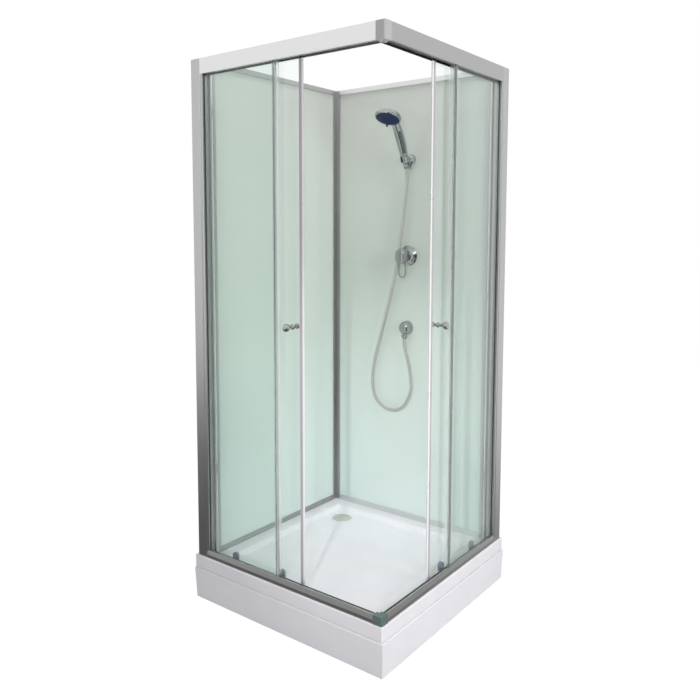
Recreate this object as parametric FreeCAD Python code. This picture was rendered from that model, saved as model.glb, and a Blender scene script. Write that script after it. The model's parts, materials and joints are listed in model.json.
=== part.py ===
import FreeCAD, Part
import math
import os

# Square corner-entry shower cabin, in millimetres.
# Origin: centre of the tray's outline, on the floor. +Z is up.
# The front-left side faces -Y, the front-right side faces +X, and the doors meet
# at the front corner (+X, -Y). The back walls stand at -X (left) and +Y (right).
# The cabin is a mirror image of itself across the upright plane x = -y, so each
# left piece is modelled once and its right twin is that piece reflected.

Vector = FreeCAD.Vector
UP = Vector(0, 0, 1)
ALONG_X = Vector(1, 0, 0)
ALONG_Y = Vector(0, 1, 0)

# Whole cabin
cabin_side = 900.0
cabin_height = 2090.0
frame_setback = 11.0         # tray edge to the outer face of the frame
overrun = 6.0                # how far a cutting tool runs past the face it cuts
fit_gap = 0.2                # glass in a slot, a plug in a socket
running_gap = 0.3            # curved faces that move past each other

# Tray
tray_height = 170.0
tray_wall = 5.0
tray_edge_radius = 4.0
rim_setback = 6.0            # skirt face to rim face on the two front sides
rim_band_height = 60.0
recess_depth = 20.0
recess_wall_margin = 123.0   # tray edge to the sunken floor on the wall sides
recess_front_margin = 105.0  # the same on the door sides
recess_slope = 10.0          # how far the walls of the recess lean in
recess_corner_cut = 71.0

# Tray skirt
skirt_lap = 9.0              # skirt above the lower edge of the rim
skirt_floor_gap = 1.0
skirt_wall = 4.0
skirt_draft = 1.5
skirt_end_lean = 10.0

# Support frame and feet
support_margin = 120.0       # tray edge to the support frame
support_tube = 30.0
support_tube_wall = 2.0
foot_pad_radius = 25.0
foot_pad_height = 5.0
foot_hub_height = 14.0
foot_hub_radius = 11.0
foot_stud_radius = 6.0
lock_nut_width = 19.0
lock_nut_height = 10.0

# Drain
drain_inset = 208.0          # tray edge to the drain's centre, both wall sides
drain_hole_radius = 45.0
drain_flange_radius = 50.0
drain_flange_height = 2.5
drain_sleeve_wall = 4.5
drain_sleeve_length = 30.0
drain_cap_radius = 43.0
drain_cap_ledge = 0.5        # seat of the cap below the tray floor
drain_cap_height = 3.5
drain_cap_bevel = 3.0
drain_stem_radius = 9.0
drain_stem_length = 24.0
trap_flange_radius = 56.0
trap_flange_height = 5.0
trap_wall = 3.0
trap_depth = 98.0
waste_spigot_radius = 20.0
waste_spigot_bore = 17.5
waste_spigot_length = 46.0
waste_collar_radius = 25.0
waste_collar_length = 8.0
waste_spigot_height = 75.0   # its axis above the floor

# Frame extrusions
extrusion_wall = 2.0
rail_depth = 45.0
top_rail_height = 57.0
bottom_rail_height = 30.0
bottom_rail_slope = 4.0      # how far the upper half of its face leans back
bottom_rail_bend = 13.0      # height at which that lean starts
bottom_track_rise = 6.0      # bottom track above the tray's rim
post_width = 49.0
post_return = 74.0           # length of the post along the back wall
post_edge_radius = 3.0
glazing_width = 11.0         # strip of the glazing channel beside the post
glazing_setback = 2.0
gasket_width = 3.0
gasket_thickness = 1.5
wall_frame_depth = 57.0
wall_frame_face = 20.0       # visible height of the back walls' rails
corner_leg = 18.0            # visible width of the back corner post on each wall
panel_setback = 6.0          # frame's inner lip to the face of the wall panel
panel_thickness = 5.0
slot_depth = 12.0            # how deep glass and panels sit in their slots

# Corner connectors
connector_width = 36.0
connector_proud = 1.0
connector_drop = 2.0         # below the top rail's lower edge
connector_radius = 7.0
connector_tongue = 25.0
connector_boss_radius = 5.0
connector_boss_height = 3.0
connector_notch = 10.0

# Glass and doors
glass_thickness = 5.0
fixed_glass_inset = 14.0     # frame face to the middle of the fixed glass
door_glass_inset = 34.0      # frame face to the middle of the door glass
fixed_glass_edge = 30.0      # free edge of the fixed glass, from the cabin's middle
door_shortfall = 4.0         # by which a door is narrower than half the front frame
left_door_edge = 76.0        # leading glass edge in the photographed pose
right_door_edge = 92.0
door_floor_gap = 4.0         # door glass above the bottom track
door_top_gap = 16.0          # door glass below the roof of the top rail

# Seals
seal_wall = 2.0
seal_grip = 6.0
fixed_seal_width = 9.0
magnet_seal_width = 10.0
magnet_seal_half_depth = 5.0
seal_shoulder = 1.5
seal_end_gap = 3.0           # seal ends clear of the rails

# Door wheels
top_wheel_radius = 10.0
top_wheel_width = 3.8
top_wheel_ends = (60.0, 115.0)        # from the leading and the trailing glass edge
bottom_wheel_radius = 8.0
bottom_wheel_width = 3.0
bottom_wheel_ends = (105.0, 93.0)
track_height = 14.0          # top track above the rail's lower edge
track_width = 5.2
stud_radius = 3.0
stud_shoulder_radius = 6.0
stud_shoulder = 1.3
stud_cap_radius = 7.0
stud_cap_height = 3.0
bore_gap = 0.05              # wheel on its axle
block_width = 24.0
block_height = 36.0
block_thickness = 11.0
block_floor_gap = 1.7        # roller block above the track
block_axle_radius = 1.5
block_button_height = 18.0   # its fixing button above the track
block_button_radius = 8.0
block_button_length = 3.0
fin_width = 4.0              # upright track of the bottom rail

# Door knobs
knob_height_share = 0.535    # of the cabin's height
knob_edge_distance = 36.0    # behind the leading glass edge
knob_length = 49.0
knob_foot_radius = 5.5
knob_foot_height = 4.0
knob_flange_radius = 10.0
knob_flange_height = 5.0
knob_head_radius = 14.5
inner_knob_length = 20.0
inner_knob_head_radius = 11.0
knob_screw_radius = 3.0

# Shower set, on the right back wall
bracket_line = 19.0          # x of the bracket, mixer and outlet
mixer_line = 10.0
outlet_line = 6.0
mixer_height_share = 0.643   # of the cabin's height
mixer_plate_radius = 44.0
mixer_plate_height = 7.0
mixer_plate_edge = 3.0
mixer_plate_bevel = 8.0
mixer_sleeve_radius = 26.0
mixer_sleeve_length = 18.0
cartridge_radius = 20.0
cartridge_depth = 22.0       # reach of the cartridge behind the panel
mixer_pivot = 25.0           # lever pivot, out from the wall
cartridge_nose = 7.0         # end of the cartridge past the lever pivot
mixer_pin_radius = 2.5
mixer_blade_half_width = 3.8
mixer_blade_half_height = 5.0
mixer_eye_radius = 6.2
mixer_slot_rise = 16.5
handle_cap_half_width = 24.0
handle_cap_half_height = 32.0
handle_cap_back = 41.0       # out from the wall
handle_cap_front = 73.0
handle_cap_round = 6.0
lever_back = 48.0            # out from the wall
lever_length = 94.0          # below the mixer's axis
lever_half_width = 19.0
lever_thickness = 7.0
lever_bar = 6.0              # width of the loop's bar
lever_hole_top = 34.0        # below the mixer's axis
valve_half_width = 30.0
valve_depth = 43.0           # reach of the valve behind the panel
inlet_radius = 10.48         # half-inch pipe thread
inlet_reach = 46.0
inlet_depth = 26.0           # inlet axes behind the wall face
inlet_bore = 7.5

outlet_height_share = 0.4922  # of the cabin's height
outlet_radius = 30.5
outlet_reach = 35.0
outlet_edge = 3.0
outlet_axis = 22.0           # spout out from the wall
spout_radius = 9.0
spout_length = 4.0
tail_radius = 10.48
tail_length = 34.0
tail_bore = 7.5
back_nut_width = 30.0
back_nut_height = 8.0

bracket_reach = 52.0         # wall face to the middle of the bracket's ring
bracket_height_share = 0.84  # of the cabin's height
bracket_tilt = 18.0          # degrees from upright
ring_height = 26.0
ring_outer_radius = 18.5
ring_slot_width = 15.5
cone_top_radius = 13.0
cone_bottom_radius = 11.0
shield_radius = 23.0
shield_drop = 36.0           # round centre to the pointed lower end
shield_tip_radius = 6.0
shield_height = 10.0
shield_bevel = 4.0
bracket_arm_radius = 10.0

handle_length = 173.3        # middle of the ring to the head
handle_bend = 20.0           # degrees from its foot to the head
handle_radius = 16.0
handle_shoulder = 15.0       # start of the grip above the middle of the ring
handle_foot = 17.0           # below the middle of the ring
neck_length = 34.0           # fairing of the handle on the back of the head
neck_tip_radius = 6.0
head_face_tilt = 22.0        # degrees of the spray face from level
head_radius = 55.0
head_height = 33.0
head_rim_height = 12.0
head_crown_share = 0.4       # flat top of the head, of its radius
head_shoulder_share = 0.84   # break in the slope of the head, of its radius
head_shoulder_height = 24.0
head_joint_radius = 46.0     # handle's end from the head's axis
head_joint_height = 20.0     # handle's end above the spray face
spray_radius = 49.0
spray_depth = 9.0
spray_proud = 1.0
selector_angle = 34.0        # degrees from the handle's side
selector_reach = 61.0
selector_width = 7.0
selector_thickness = 4.0
selector_root_share = 0.88   # of the spray face's radius

hose_radius = 7.0
top_nut_length = 23.0
top_nut_radius = 9.5
bottom_nut_length = 16.0
bottom_nut_width = 24.0
bottom_nut_hex_share = 0.6   # of the nut's length
ferrule_radius = 8.0

# Derived places
half_side = cabin_side / 2
frame_reach = half_side - frame_setback
rim_reach = half_side - rim_setback
floor_height = tray_height - recess_depth
skirt_top = tray_height - rim_band_height + skirt_lap
rail_back = frame_reach - rail_depth
top_rail_bottom = cabin_height - top_rail_height
bottom_rail_top = tray_height + bottom_rail_height
bottom_track = tray_height + bottom_track_rise
wall_lip = frame_reach - wall_frame_depth
wall_face = wall_lip + panel_setback
panel_back = wall_face + panel_thickness
post_edge = frame_reach - post_width
fixed_plane = frame_reach - fixed_glass_inset
door_plane = frame_reach - door_glass_inset
door_outer = door_plane + glass_thickness / 2
door_inner = door_plane - glass_thickness / 2
slot_outer = fixed_plane + glass_thickness / 2 + fit_gap
slot_inner = fixed_plane - glass_thickness / 2 - fit_gap
connector_start = frame_reach + connector_proud - connector_width
top_track = top_rail_bottom + track_height
top_wheel_height = top_track + running_gap + top_wheel_radius
bottom_wheel_height = bottom_track + running_gap + bottom_wheel_radius
fin_middle = rail_back + fin_width / 2
door_bottom = bottom_track + door_floor_gap
door_top = cabin_height - extrusion_wall - door_top_gap
door_width = frame_reach - door_shortfall
top_wheel_offsets = (top_wheel_ends[0], door_width - top_wheel_ends[1])
bottom_wheel_offsets = (bottom_wheel_ends[0], door_width - bottom_wheel_ends[1])
knob_height = cabin_height * knob_height_share
mixer_height = cabin_height * mixer_height_share
outlet_height = cabin_height * outlet_height_share
bracket_height = cabin_height * bracket_height_share


def block(x0, x1, y0, y1, z0, z1):
    return Part.makeBox(x1 - x0, y1 - y0, z1 - z0, Vector(x0, y0, z0))


def upright(points, z0, z1):
    """Extrusion that stands up: a plan outline of (x, y) from z0 to z1."""
    corners = [Vector(x, y, z0) for x, y in points]
    outline = Part.makePolygon(corners + corners[:1])
    return Part.Face(outline).extrude(UP * (z1 - z0))


def front_bar(points, x0, x1):
    """Extrusion along the front-left side: a section of (distance out, z)."""
    corners = [Vector(x0, -out, z) for out, z in points]
    outline = Part.makePolygon(corners + corners[:1])
    return Part.Face(outline).extrude(ALONG_X * (x1 - x0))


def wall_bar(points, y0, y1):
    """Extrusion along the left back wall: a section of (distance out, z)."""
    corners = [Vector(-out, y0, z) for out, z in points]
    outline = Part.makePolygon(corners + corners[:1])
    return Part.Face(outline).extrude(ALONG_Y * (y1 - y0))


def turned(points, origin, axis):
    """Solid of revolution: (radius, height) points about an axis through origin."""
    corners = [Vector(radius, 0, height) for radius, height in points]
    outline = Part.makePolygon(corners + corners[:1])
    shape = Part.Face(outline).revolve(Vector(0, 0, 0), UP, 360)
    shape.Placement = FreeCAD.Placement(origin, FreeCAD.Rotation(UP, axis))
    return shape


def rod(radius, start, axis, length):
    return Part.makeCylinder(radius, length, start, axis)


def hexagon(width, height, start, axis):
    """Hexagonal bar of a width across its flats."""
    corner = width / math.sqrt(3)
    corners = []
    for side in range(6):
        angle = math.radians(60 * side)
        corners.append(Vector(corner * math.cos(angle), corner * math.sin(angle), 0))
    shape = Part.Face(Part.makePolygon(corners + corners[:1])).extrude(UP * height)
    shape.Placement = FreeCAD.Placement(start, FreeCAD.Rotation(UP, axis))
    return shape


def across_diagonal(shape):
    """The same piece on the front-right side or the right back wall."""
    return shape.mirror(Vector(0, 0, 0), Vector(1, 1, 0))


def left_of_diagonal():
    """Everything on the left of the plane that the two front sides meet on."""
    reach = cabin_side
    corners = [(-reach, -reach), (reach, -reach), (-reach, reach)]
    return upright(corners, -overrun, cabin_height + overrun)


def rounded(shape, radius, chosen):
    """Fillet of the edges that the test accepts."""
    edges = [edge for edge in shape.Edges if chosen(edge.BoundBox)]
    return shape.makeFillet(radius, edges)


def near(a, b):
    return abs(a - b) < fit_gap


def write(name, *solids):
    shape = solids[0] if len(solids) == 1 else Part.makeCompound(list(solids))
    shape.exportStep("parts/%s.step" % name)


# Tray and its support

drain_x = drain_inset - half_side
drain_y = half_side - drain_inset


def tapered(lower, upper):
    """Straight-sided solid between two level outlines with matching corners."""
    faces = [Part.Face(Part.makePolygon(loop + loop[:1])) for loop in (lower, upper)]
    for side in range(len(lower)):
        corners = [lower[side - 1], lower[side], upper[side], upper[side - 1]]
        faces.append(Part.Face(Part.makePolygon(corners + corners[:1])))
    shell = Part.makeShell(faces)
    return Part.makeSolid(shell)


def recess_outline(inset, z):
    """Outline of the sunken floor, drawn in by an inset."""
    wall_side = half_side - recess_wall_margin - inset
    front_side = half_side - recess_front_margin - inset
    cut = recess_corner_cut - inset * (2 - math.sqrt(2))
    points = [
        (-wall_side, wall_side),
        (front_side, wall_side),
        (front_side, cut - front_side),
        (front_side - cut, -front_side),
        (-wall_side, -front_side),
    ]
    return [Vector(x, y, z) for x, y in points]


def shower_tray():
    band_bottom = tray_height - rim_band_height
    shell = block(-half_side, rim_reach, -rim_reach, half_side, band_bottom, tray_height)
    hollow = block(
        tray_wall - half_side,
        rim_reach - tray_wall,
        tray_wall - rim_reach,
        half_side - tray_wall,
        band_bottom - overrun,
        tray_height - tray_wall,
    )
    below = recess_outline(recess_slope - tray_wall, floor_height - tray_wall)
    above = recess_outline(-tray_wall, tray_height - tray_wall)
    wall_lean = recess_slope / recess_depth
    floor_outline = recess_outline(recess_slope, floor_height)
    mouth = recess_outline(-overrun * wall_lean, tray_height + overrun)
    basin = tapered(below, above)
    cavity = tapered(floor_outline, mouth)
    waste = rod(drain_hole_radius, Vector(drain_x, drain_y, 0), UP, tray_height)
    tray = shell.cut(hollow).fuse(basin).cut(cavity).cut(waste).removeSplitter()

    def front_edge(box):
        on_right = near(box.XMin, rim_reach) and near(box.XMax, rim_reach)
        on_left = near(box.YMin, -rim_reach) and near(box.YMax, -rim_reach)
        on_top = near(box.ZMin, tray_height)
        return (on_right or on_left) and on_top or (on_right and on_left)

    return rounded(tray, tray_edge_radius, front_edge)


def tray_skirt():
    foot = half_side - skirt_draft
    seat = rim_reach + fit_gap
    section = [
        (seat, skirt_top),
        (half_side, skirt_top),
        (foot, skirt_floor_gap),
        (foot - skirt_wall, skirt_floor_gap),
        (half_side - skirt_wall, skirt_top - skirt_wall),
        (seat, skirt_top - skirt_wall),
    ]
    side = front_bar(section, -half_side, half_side)
    corners = [
        Vector(-half_side, -half_side, skirt_top),
        Vector(half_side, -half_side, skirt_top),
        Vector(half_side, -half_side, skirt_floor_gap),
        Vector(skirt_end_lean - half_side, -half_side, skirt_floor_gap),
    ]
    outline = Part.Face(Part.makePolygon(corners + corners[:1]))
    side = side.common(outline.extrude(ALONG_Y * half_side))
    side = side.common(left_of_diagonal())
    return side.fuse(across_diagonal(side)).removeSplitter()


support_top = floor_height - tray_wall
support_bottom = support_top - support_tube
support_reach = half_side - support_margin
foot_place = support_reach - support_tube / 2
foot_places = [(0, 0)]
for x_side in (-1, 1):
    for y_side in (-1, 1):
        foot_places.append((x_side * foot_place, y_side * foot_place))


def square_ring(outer, inner, z0, z1):
    ring = block(-outer, outer, -outer, outer, z0, z1)
    return ring.cut(block(-inner, inner, -inner, inner, z0 - overrun, z1 + overrun))


def tray_support_frame():
    inside = support_reach - support_tube
    tube = support_tube / 2
    frame = square_ring(support_reach, inside, support_bottom, support_top)
    frame = frame.fuse(block(-inside, inside, -tube, tube, support_bottom, support_top))
    low = support_bottom + support_tube_wall
    high = support_top - support_tube_wall
    outer = support_reach - support_tube_wall
    hollow = square_ring(outer, inside + support_tube_wall, low, high)
    bore = tube - support_tube_wall
    hollow = hollow.fuse(block(-outer, outer, -bore, bore, low, high))
    return frame.cut(hollow).removeSplitter()


def levelling_foot(x, y):
    stud_top = support_bottom
    points = [
        (0, 0),
        (foot_pad_radius, 0),
        (foot_pad_radius, foot_pad_height),
        (foot_hub_radius, foot_pad_height),
        (foot_hub_radius, foot_hub_height),
        (foot_stud_radius, foot_hub_height),
        (foot_stud_radius, stud_top),
        (0, stud_top),
    ]
    return turned(points, Vector(x, y, 0), UP)


def foot_lock_nut(x, y):
    start = Vector(x, y, support_bottom - lock_nut_height)
    nut = hexagon(lock_nut_width, lock_nut_height, start, UP)
    return nut.cut(rod(foot_stud_radius + fit_gap, start, UP, lock_nut_height))


cap_seat = floor_height - drain_cap_ledge
drain_sleeve_radius = drain_hole_radius - fit_gap
drain_sleeve_bore = drain_sleeve_radius - drain_sleeve_wall


def drain_flange():
    top = floor_height + drain_flange_height
    rim = drain_cap_radius + fit_gap
    points = [
        (drain_sleeve_bore, cap_seat),
        (rim, cap_seat),
        (rim, top),
        (drain_flange_radius, top),
        (drain_flange_radius, floor_height),
        (drain_sleeve_radius, floor_height),
        (drain_sleeve_radius, floor_height - drain_sleeve_length),
        (drain_sleeve_bore, floor_height - drain_sleeve_length),
    ]
    return turned(points, Vector(drain_x, drain_y, 0), UP)


def drain_cap():
    crown = cap_seat + drain_cap_height
    edge = crown - drain_cap_bevel
    points = [
        (0, crown),
        (drain_cap_radius - drain_cap_bevel, crown),
        (drain_cap_radius, edge),
        (drain_cap_radius, cap_seat),
        (drain_stem_radius, cap_seat),
        (drain_stem_radius, cap_seat - drain_stem_length),
        (0, cap_seat - drain_stem_length),
    ]
    return turned(points, Vector(drain_x, drain_y, 0), UP)


def drain_trap():
    top = floor_height - tray_wall
    bottom = top - trap_depth
    inner = drain_hole_radius
    outer = inner + trap_wall
    points = [
        (0, bottom),
        (outer, bottom),
        (outer, top - trap_flange_height),
        (trap_flange_radius, top - trap_flange_height),
        (trap_flange_radius, top),
        (inner, top),
        (inner, bottom + trap_wall),
        (0, bottom + trap_wall),
    ]
    cup = turned(points, Vector(drain_x, drain_y, 0), UP)
    start = Vector(drain_x, drain_y, waste_spigot_height)
    collar_end = outer + waste_collar_length
    end = collar_end + waste_spigot_length
    spigot = rod(waste_spigot_radius, start, ALONG_Y, end)
    spigot = spigot.fuse(rod(waste_collar_radius, start, ALONG_Y, collar_end))
    spigot = spigot.cut(rod(inner, Vector(drain_x, drain_y, 0), UP, top))
    bore = rod(waste_spigot_bore, start, ALONG_Y, end + overrun)
    return cup.fuse(spigot).cut(bore).removeSplitter()


# Frame extrusions, left side

def top_rail():
    roof = cabin_height - extrusion_wall
    slot_roof = top_rail_bottom + slot_depth + fit_gap
    lip = rail_back + extrusion_wall
    track_edge = lip + track_width
    section = [
        (frame_reach, top_rail_bottom),
        (frame_reach, cabin_height),
        (rail_back, cabin_height),
        (rail_back, top_rail_bottom),
        (lip, top_rail_bottom),
        (lip, top_track - extrusion_wall),
        (track_edge, top_track - extrusion_wall),
        (track_edge, top_track),
        (lip, top_track),
        (lip, roof),
        (slot_inner - extrusion_wall, roof),
        (slot_inner - extrusion_wall, top_rail_bottom),
        (slot_inner, top_rail_bottom),
        (slot_inner, slot_roof),
        (slot_outer, slot_roof),
        (slot_outer, top_rail_bottom),
    ]
    chamber_side = slot_outer + extrusion_wall
    chamber = [
        (slot_inner, slot_roof + extrusion_wall),
        (chamber_side, slot_roof + extrusion_wall),
        (chamber_side, top_rail_bottom + extrusion_wall),
        (frame_reach - extrusion_wall, top_rail_bottom + extrusion_wall),
        (frame_reach - extrusion_wall, roof),
        (slot_inner, roof),
    ]
    rail = front_bar(section, -post_edge, connector_start)
    rail = rail.cut(front_bar(chamber, -post_edge - overrun, connector_start + overrun))
    return rail.common(left_of_diagonal())


def bottom_rail():
    base = tray_height
    bend = base + bottom_rail_bend
    shoulder = frame_reach - bottom_rail_slope
    gutter = base + extrusion_wall
    slot_floor = bottom_rail_top - slot_depth - fit_gap
    fin_edge = rail_back + fin_width
    section = [
        (frame_reach, base),
        (frame_reach, bend),
        (shoulder, bottom_rail_top),
        (slot_outer, bottom_rail_top),
        (slot_outer, slot_floor),
        (slot_inner, slot_floor),
        (slot_inner, bottom_rail_top),
        (slot_inner - extrusion_wall, bottom_rail_top),
        (slot_inner - extrusion_wall, gutter),
        (fin_edge, gutter),
        (fin_edge, bottom_track),
        (rail_back, bottom_track),
        (rail_back, base),
    ]
    chamber_side = slot_outer + extrusion_wall
    chamber = [
        (slot_inner, gutter),
        (frame_reach - extrusion_wall, gutter),
        (frame_reach - extrusion_wall, bend),
        (shoulder - extrusion_wall, bottom_rail_top - extrusion_wall),
        (chamber_side, bottom_rail_top - extrusion_wall),
        (chamber_side, slot_floor - extrusion_wall),
        (slot_inner, slot_floor - extrusion_wall),
    ]
    rail = front_bar(section, -post_edge, connector_start)
    rail = rail.cut(front_bar(chamber, -post_edge - overrun, connector_start + overrun))
    return rail.common(left_of_diagonal())


post_end = frame_reach - post_return
panel_slot_front = wall_face - fit_gap
panel_slot_back = panel_back + fit_gap


def post():
    """Front upright: carries the fixed glass and ends the left back wall."""
    slot_floor = -post_end - slot_depth - fit_gap
    outline = [
        (-frame_reach, -frame_reach),
        (-post_edge, -frame_reach),
        (-post_edge, -rail_back),
        (-wall_lip, -rail_back),
        (-wall_lip, -post_end),
        (-panel_slot_front, -post_end),
        (-panel_slot_front, slot_floor),
        (-panel_slot_back, slot_floor),
        (-panel_slot_back, -post_end),
        (-frame_reach, -post_end),
    ]
    wall = extrusion_wall
    front_chamber = block(
        wall - frame_reach, -post_edge - wall, wall - frame_reach, -rail_back - wall,
        tray_height - overrun, cabin_height + overrun,
    )
    rear_chamber = block(
        wall - frame_reach, -panel_slot_back - wall, -rail_back, -post_end - wall,
        tray_height - overrun, cabin_height + overrun,
    )
    shape = upright(outline, tray_height, cabin_height)

    def face_edge(box):
        stands = box.ZLength > top_rail_height
        return stands and near(box.YMin, -frame_reach) and near(box.YMax, -frame_reach)

    shape = rounded(shape, post_edge_radius, face_edge)
    return shape.cut(front_chamber).cut(rear_chamber)


glazing_edge = post_edge - glazing_width


def glazing_channel():
    """Channel beside the post, which grips the edge of the fixed glass."""
    face = frame_reach - glazing_setback
    inner = slot_inner - extrusion_wall
    outline = [
        (-post_edge, -face),
        (-glazing_edge, -face),
        (-glazing_edge, -slot_outer),
        (extrusion_wall - post_edge, -slot_outer),
        (extrusion_wall - post_edge, -slot_inner),
        (-glazing_edge, -slot_inner),
        (-glazing_edge, -inner),
        (-post_edge, -inner),
    ]
    return upright(outline, bottom_rail_top, top_rail_bottom)


def glazing_gasket():
    glass_face = fixed_plane + glass_thickness / 2
    return block(
        -glazing_edge, gasket_width - glazing_edge,
        -glass_face - gasket_thickness, -glass_face,
        bottom_rail_top, top_rail_bottom,
    )


corner_end = wall_lip - corner_leg


def back_corner_post():
    """Inner corner of the two back walls, with a slot for each panel."""
    slot_floor = corner_end + slot_depth + fit_gap
    outline = [
        (-frame_reach, frame_reach),
        (-frame_reach, corner_end),
        (-panel_slot_back, corner_end),
        (-panel_slot_back, slot_floor),
        (-panel_slot_front, slot_floor),
        (-panel_slot_front, corner_end),
        (-wall_lip, corner_end),
        (-wall_lip, wall_lip),
        (-corner_end, wall_lip),
        (-corner_end, panel_slot_front),
        (-slot_floor, panel_slot_front),
        (-slot_floor, panel_slot_back),
        (-corner_end, panel_slot_back),
        (-corner_end, frame_reach),
    ]
    wall = extrusion_wall
    bore = panel_slot_back + wall
    chamber = block(
        wall - frame_reach, -bore, bore, frame_reach - wall,
        tray_height - overrun, cabin_height + overrun,
    )
    return upright(outline, tray_height, cabin_height).cut(chamber)


def wall_rail(edge, face, slot_floor):
    """Rail of the left back wall, from its outer edge to its visible face edge."""
    lift = math.copysign(extrusion_wall, face - edge)
    section = [
        (frame_reach, edge),
        (frame_reach, face),
        (panel_slot_back, face),
        (panel_slot_back, slot_floor),
        (panel_slot_front, slot_floor),
        (panel_slot_front, face),
        (wall_lip, face),
        (wall_lip, edge),
    ]
    chamber = [
        (frame_reach - extrusion_wall, edge + lift),
        (frame_reach - extrusion_wall, face - lift),
        (panel_slot_back + extrusion_wall, face - lift),
        (panel_slot_back + extrusion_wall, edge + lift),
    ]
    rail = wall_bar(section, -post_end, corner_end)
    return rail.cut(wall_bar(chamber, -post_end - overrun, corner_end + overrun))


wall_rail_bottom_face = tray_height + wall_frame_face
wall_rail_top_face = cabin_height - wall_frame_face


def wall_panel():
    return block(
        -panel_back, -wall_face,
        -post_end - slot_depth, corner_end + slot_depth,
        wall_rail_bottom_face - slot_depth, wall_rail_top_face + slot_depth,
    )


# Corner connectors

def connector_block(z0, z1):
    """Corner block that plugs both front rails, with a rounded front edge."""
    face = frame_reach + connector_proud
    shape = block(connector_start, face, -face, -connector_start, z0, z1)

    def front_edge(box):
        return near(box.XMin, face) and near(box.YMax, -face)

    return rounded(shape, connector_radius, front_edge)


def connector_tongue_bar(z0, z1, outer):
    """Tongue inside the left rail's chamber."""
    near_side = slot_outer + extrusion_wall + fit_gap
    section = [(near_side, z0), (outer, z0), (outer, z1), (near_side, z1)]
    return front_bar(section, connector_start - connector_tongue, connector_start)


def with_tongues(shape, z0, z1, outer):
    tongue = connector_tongue_bar(z0, z1, outer)
    return shape.fuse(tongue).fuse(across_diagonal(tongue)).removeSplitter()


def top_corner_connector():
    low = top_rail_bottom - connector_drop
    shape = connector_block(low, cabin_height)
    middle = connector_start + connector_width / 2
    near_rail = connector_start + connector_boss_radius + connector_drop
    for x, y in ((near_rail, -middle), (middle, -near_rail)):
        start = Vector(x, y, low - connector_boss_height)
        shape = shape.fuse(rod(connector_boss_radius, start, UP, connector_boss_height))
    z0 = top_rail_bottom + extrusion_wall + fit_gap
    z1 = cabin_height - extrusion_wall - fit_gap
    return with_tongues(shape, z0, z1, frame_reach - extrusion_wall - fit_gap)


def bottom_corner_connector():
    high = bottom_rail_top + connector_proud
    shape = connector_block(tray_height, high)
    inner = connector_start + connector_notch
    notch = block(
        connector_start - overrun, inner, -inner, overrun - connector_start,
        door_bottom, high + overrun,
    )
    z0 = tray_height + extrusion_wall + fit_gap
    z1 = bottom_rail_top - extrusion_wall - fit_gap
    outer = frame_reach - bottom_rail_slope - extrusion_wall - fit_gap
    return with_tongues(shape.cut(notch), z0, z1, outer)


# Fixed glass and its edge seal

def fixed_glass():
    return block(
        extrusion_wall + fit_gap - post_edge, -fixed_glass_edge,
        -fixed_plane - glass_thickness / 2, glass_thickness / 2 - fixed_plane,
        bottom_rail_top - slot_depth, top_rail_bottom + slot_depth,
    )


def fixed_seal():
    """Clear strip on the free edge of the fixed glass; its fin clears the roller blocks."""
    grip = glass_thickness / 2 + fit_gap
    half = grip + seal_wall
    edge = fit_gap - fixed_glass_edge
    tip = fixed_seal_width - fixed_glass_edge
    fin = door_outer + running_gap + fit_gap
    outline = [
        (edge - seal_grip, -fixed_plane - half),
        (tip, -fixed_plane - half),
        (tip, -fin),
        (tip - seal_wall, -fin),
        (tip - seal_wall, half - fixed_plane),
        (edge - seal_grip, half - fixed_plane),
        (edge - seal_grip, grip - fixed_plane),
        (edge, grip - fixed_plane),
        (edge, -fixed_plane - grip),
        (edge - seal_grip, -fixed_plane - grip),
    ]
    strip = upright(outline, bottom_rail_top, top_rail_bottom)
    button_top = bottom_track + block_button_height + block_button_radius
    passage = block(
        tip - seal_wall - overrun, tip + overrun, half - fixed_plane, -door_inner,
        bottom_rail_top - overrun, button_top + seal_end_gap,
    )
    return strip.cut(passage)


# Sliding doors, left door with its leading glass edge at x = edge

def door_hole(x, z, radius):
    start = Vector(x, -door_outer - overrun, z)
    return rod(radius + fit_gap, start, ALONG_Y, 2 * overrun + glass_thickness)


def door_glass(edge):
    pane = block(edge - door_width, edge, -door_outer, -door_inner, door_bottom, door_top)
    for offset in top_wheel_offsets:
        pane = pane.cut(door_hole(edge - offset, top_wheel_height, stud_radius))
    for offset in bottom_wheel_offsets:
        pane = pane.cut(door_hole(edge - offset, bottom_track + block_button_height, stud_radius))
    return pane.cut(door_hole(edge - knob_edge_distance, knob_height, knob_screw_radius))


def magnet_seal(edge):
    """Strip on the leading edge; its slanted face meets the other door's."""
    grip = glass_thickness / 2 + fit_gap
    half = grip + seal_wall
    deep = magnet_seal_half_depth
    tip = edge + magnet_seal_width
    root = edge + seal_wall + fit_gap
    body = root + seal_shoulder
    outline = [
        (edge - seal_grip, -door_plane - half),
        (root, -door_plane - half),
        (body, -door_plane - deep),
        (tip + deep, -door_plane - deep),
        (tip - deep, deep - door_plane),
        (body, deep - door_plane),
        (root, half - door_plane),
        (edge - seal_grip, half - door_plane),
        (edge - seal_grip, grip - door_plane),
        (edge + fit_gap, grip - door_plane),
        (edge + fit_gap, -door_plane - grip),
        (edge - seal_grip, -door_plane - grip),
    ]
    return upright(outline, door_bottom + seal_end_gap, top_rail_bottom - seal_end_gap)


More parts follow.
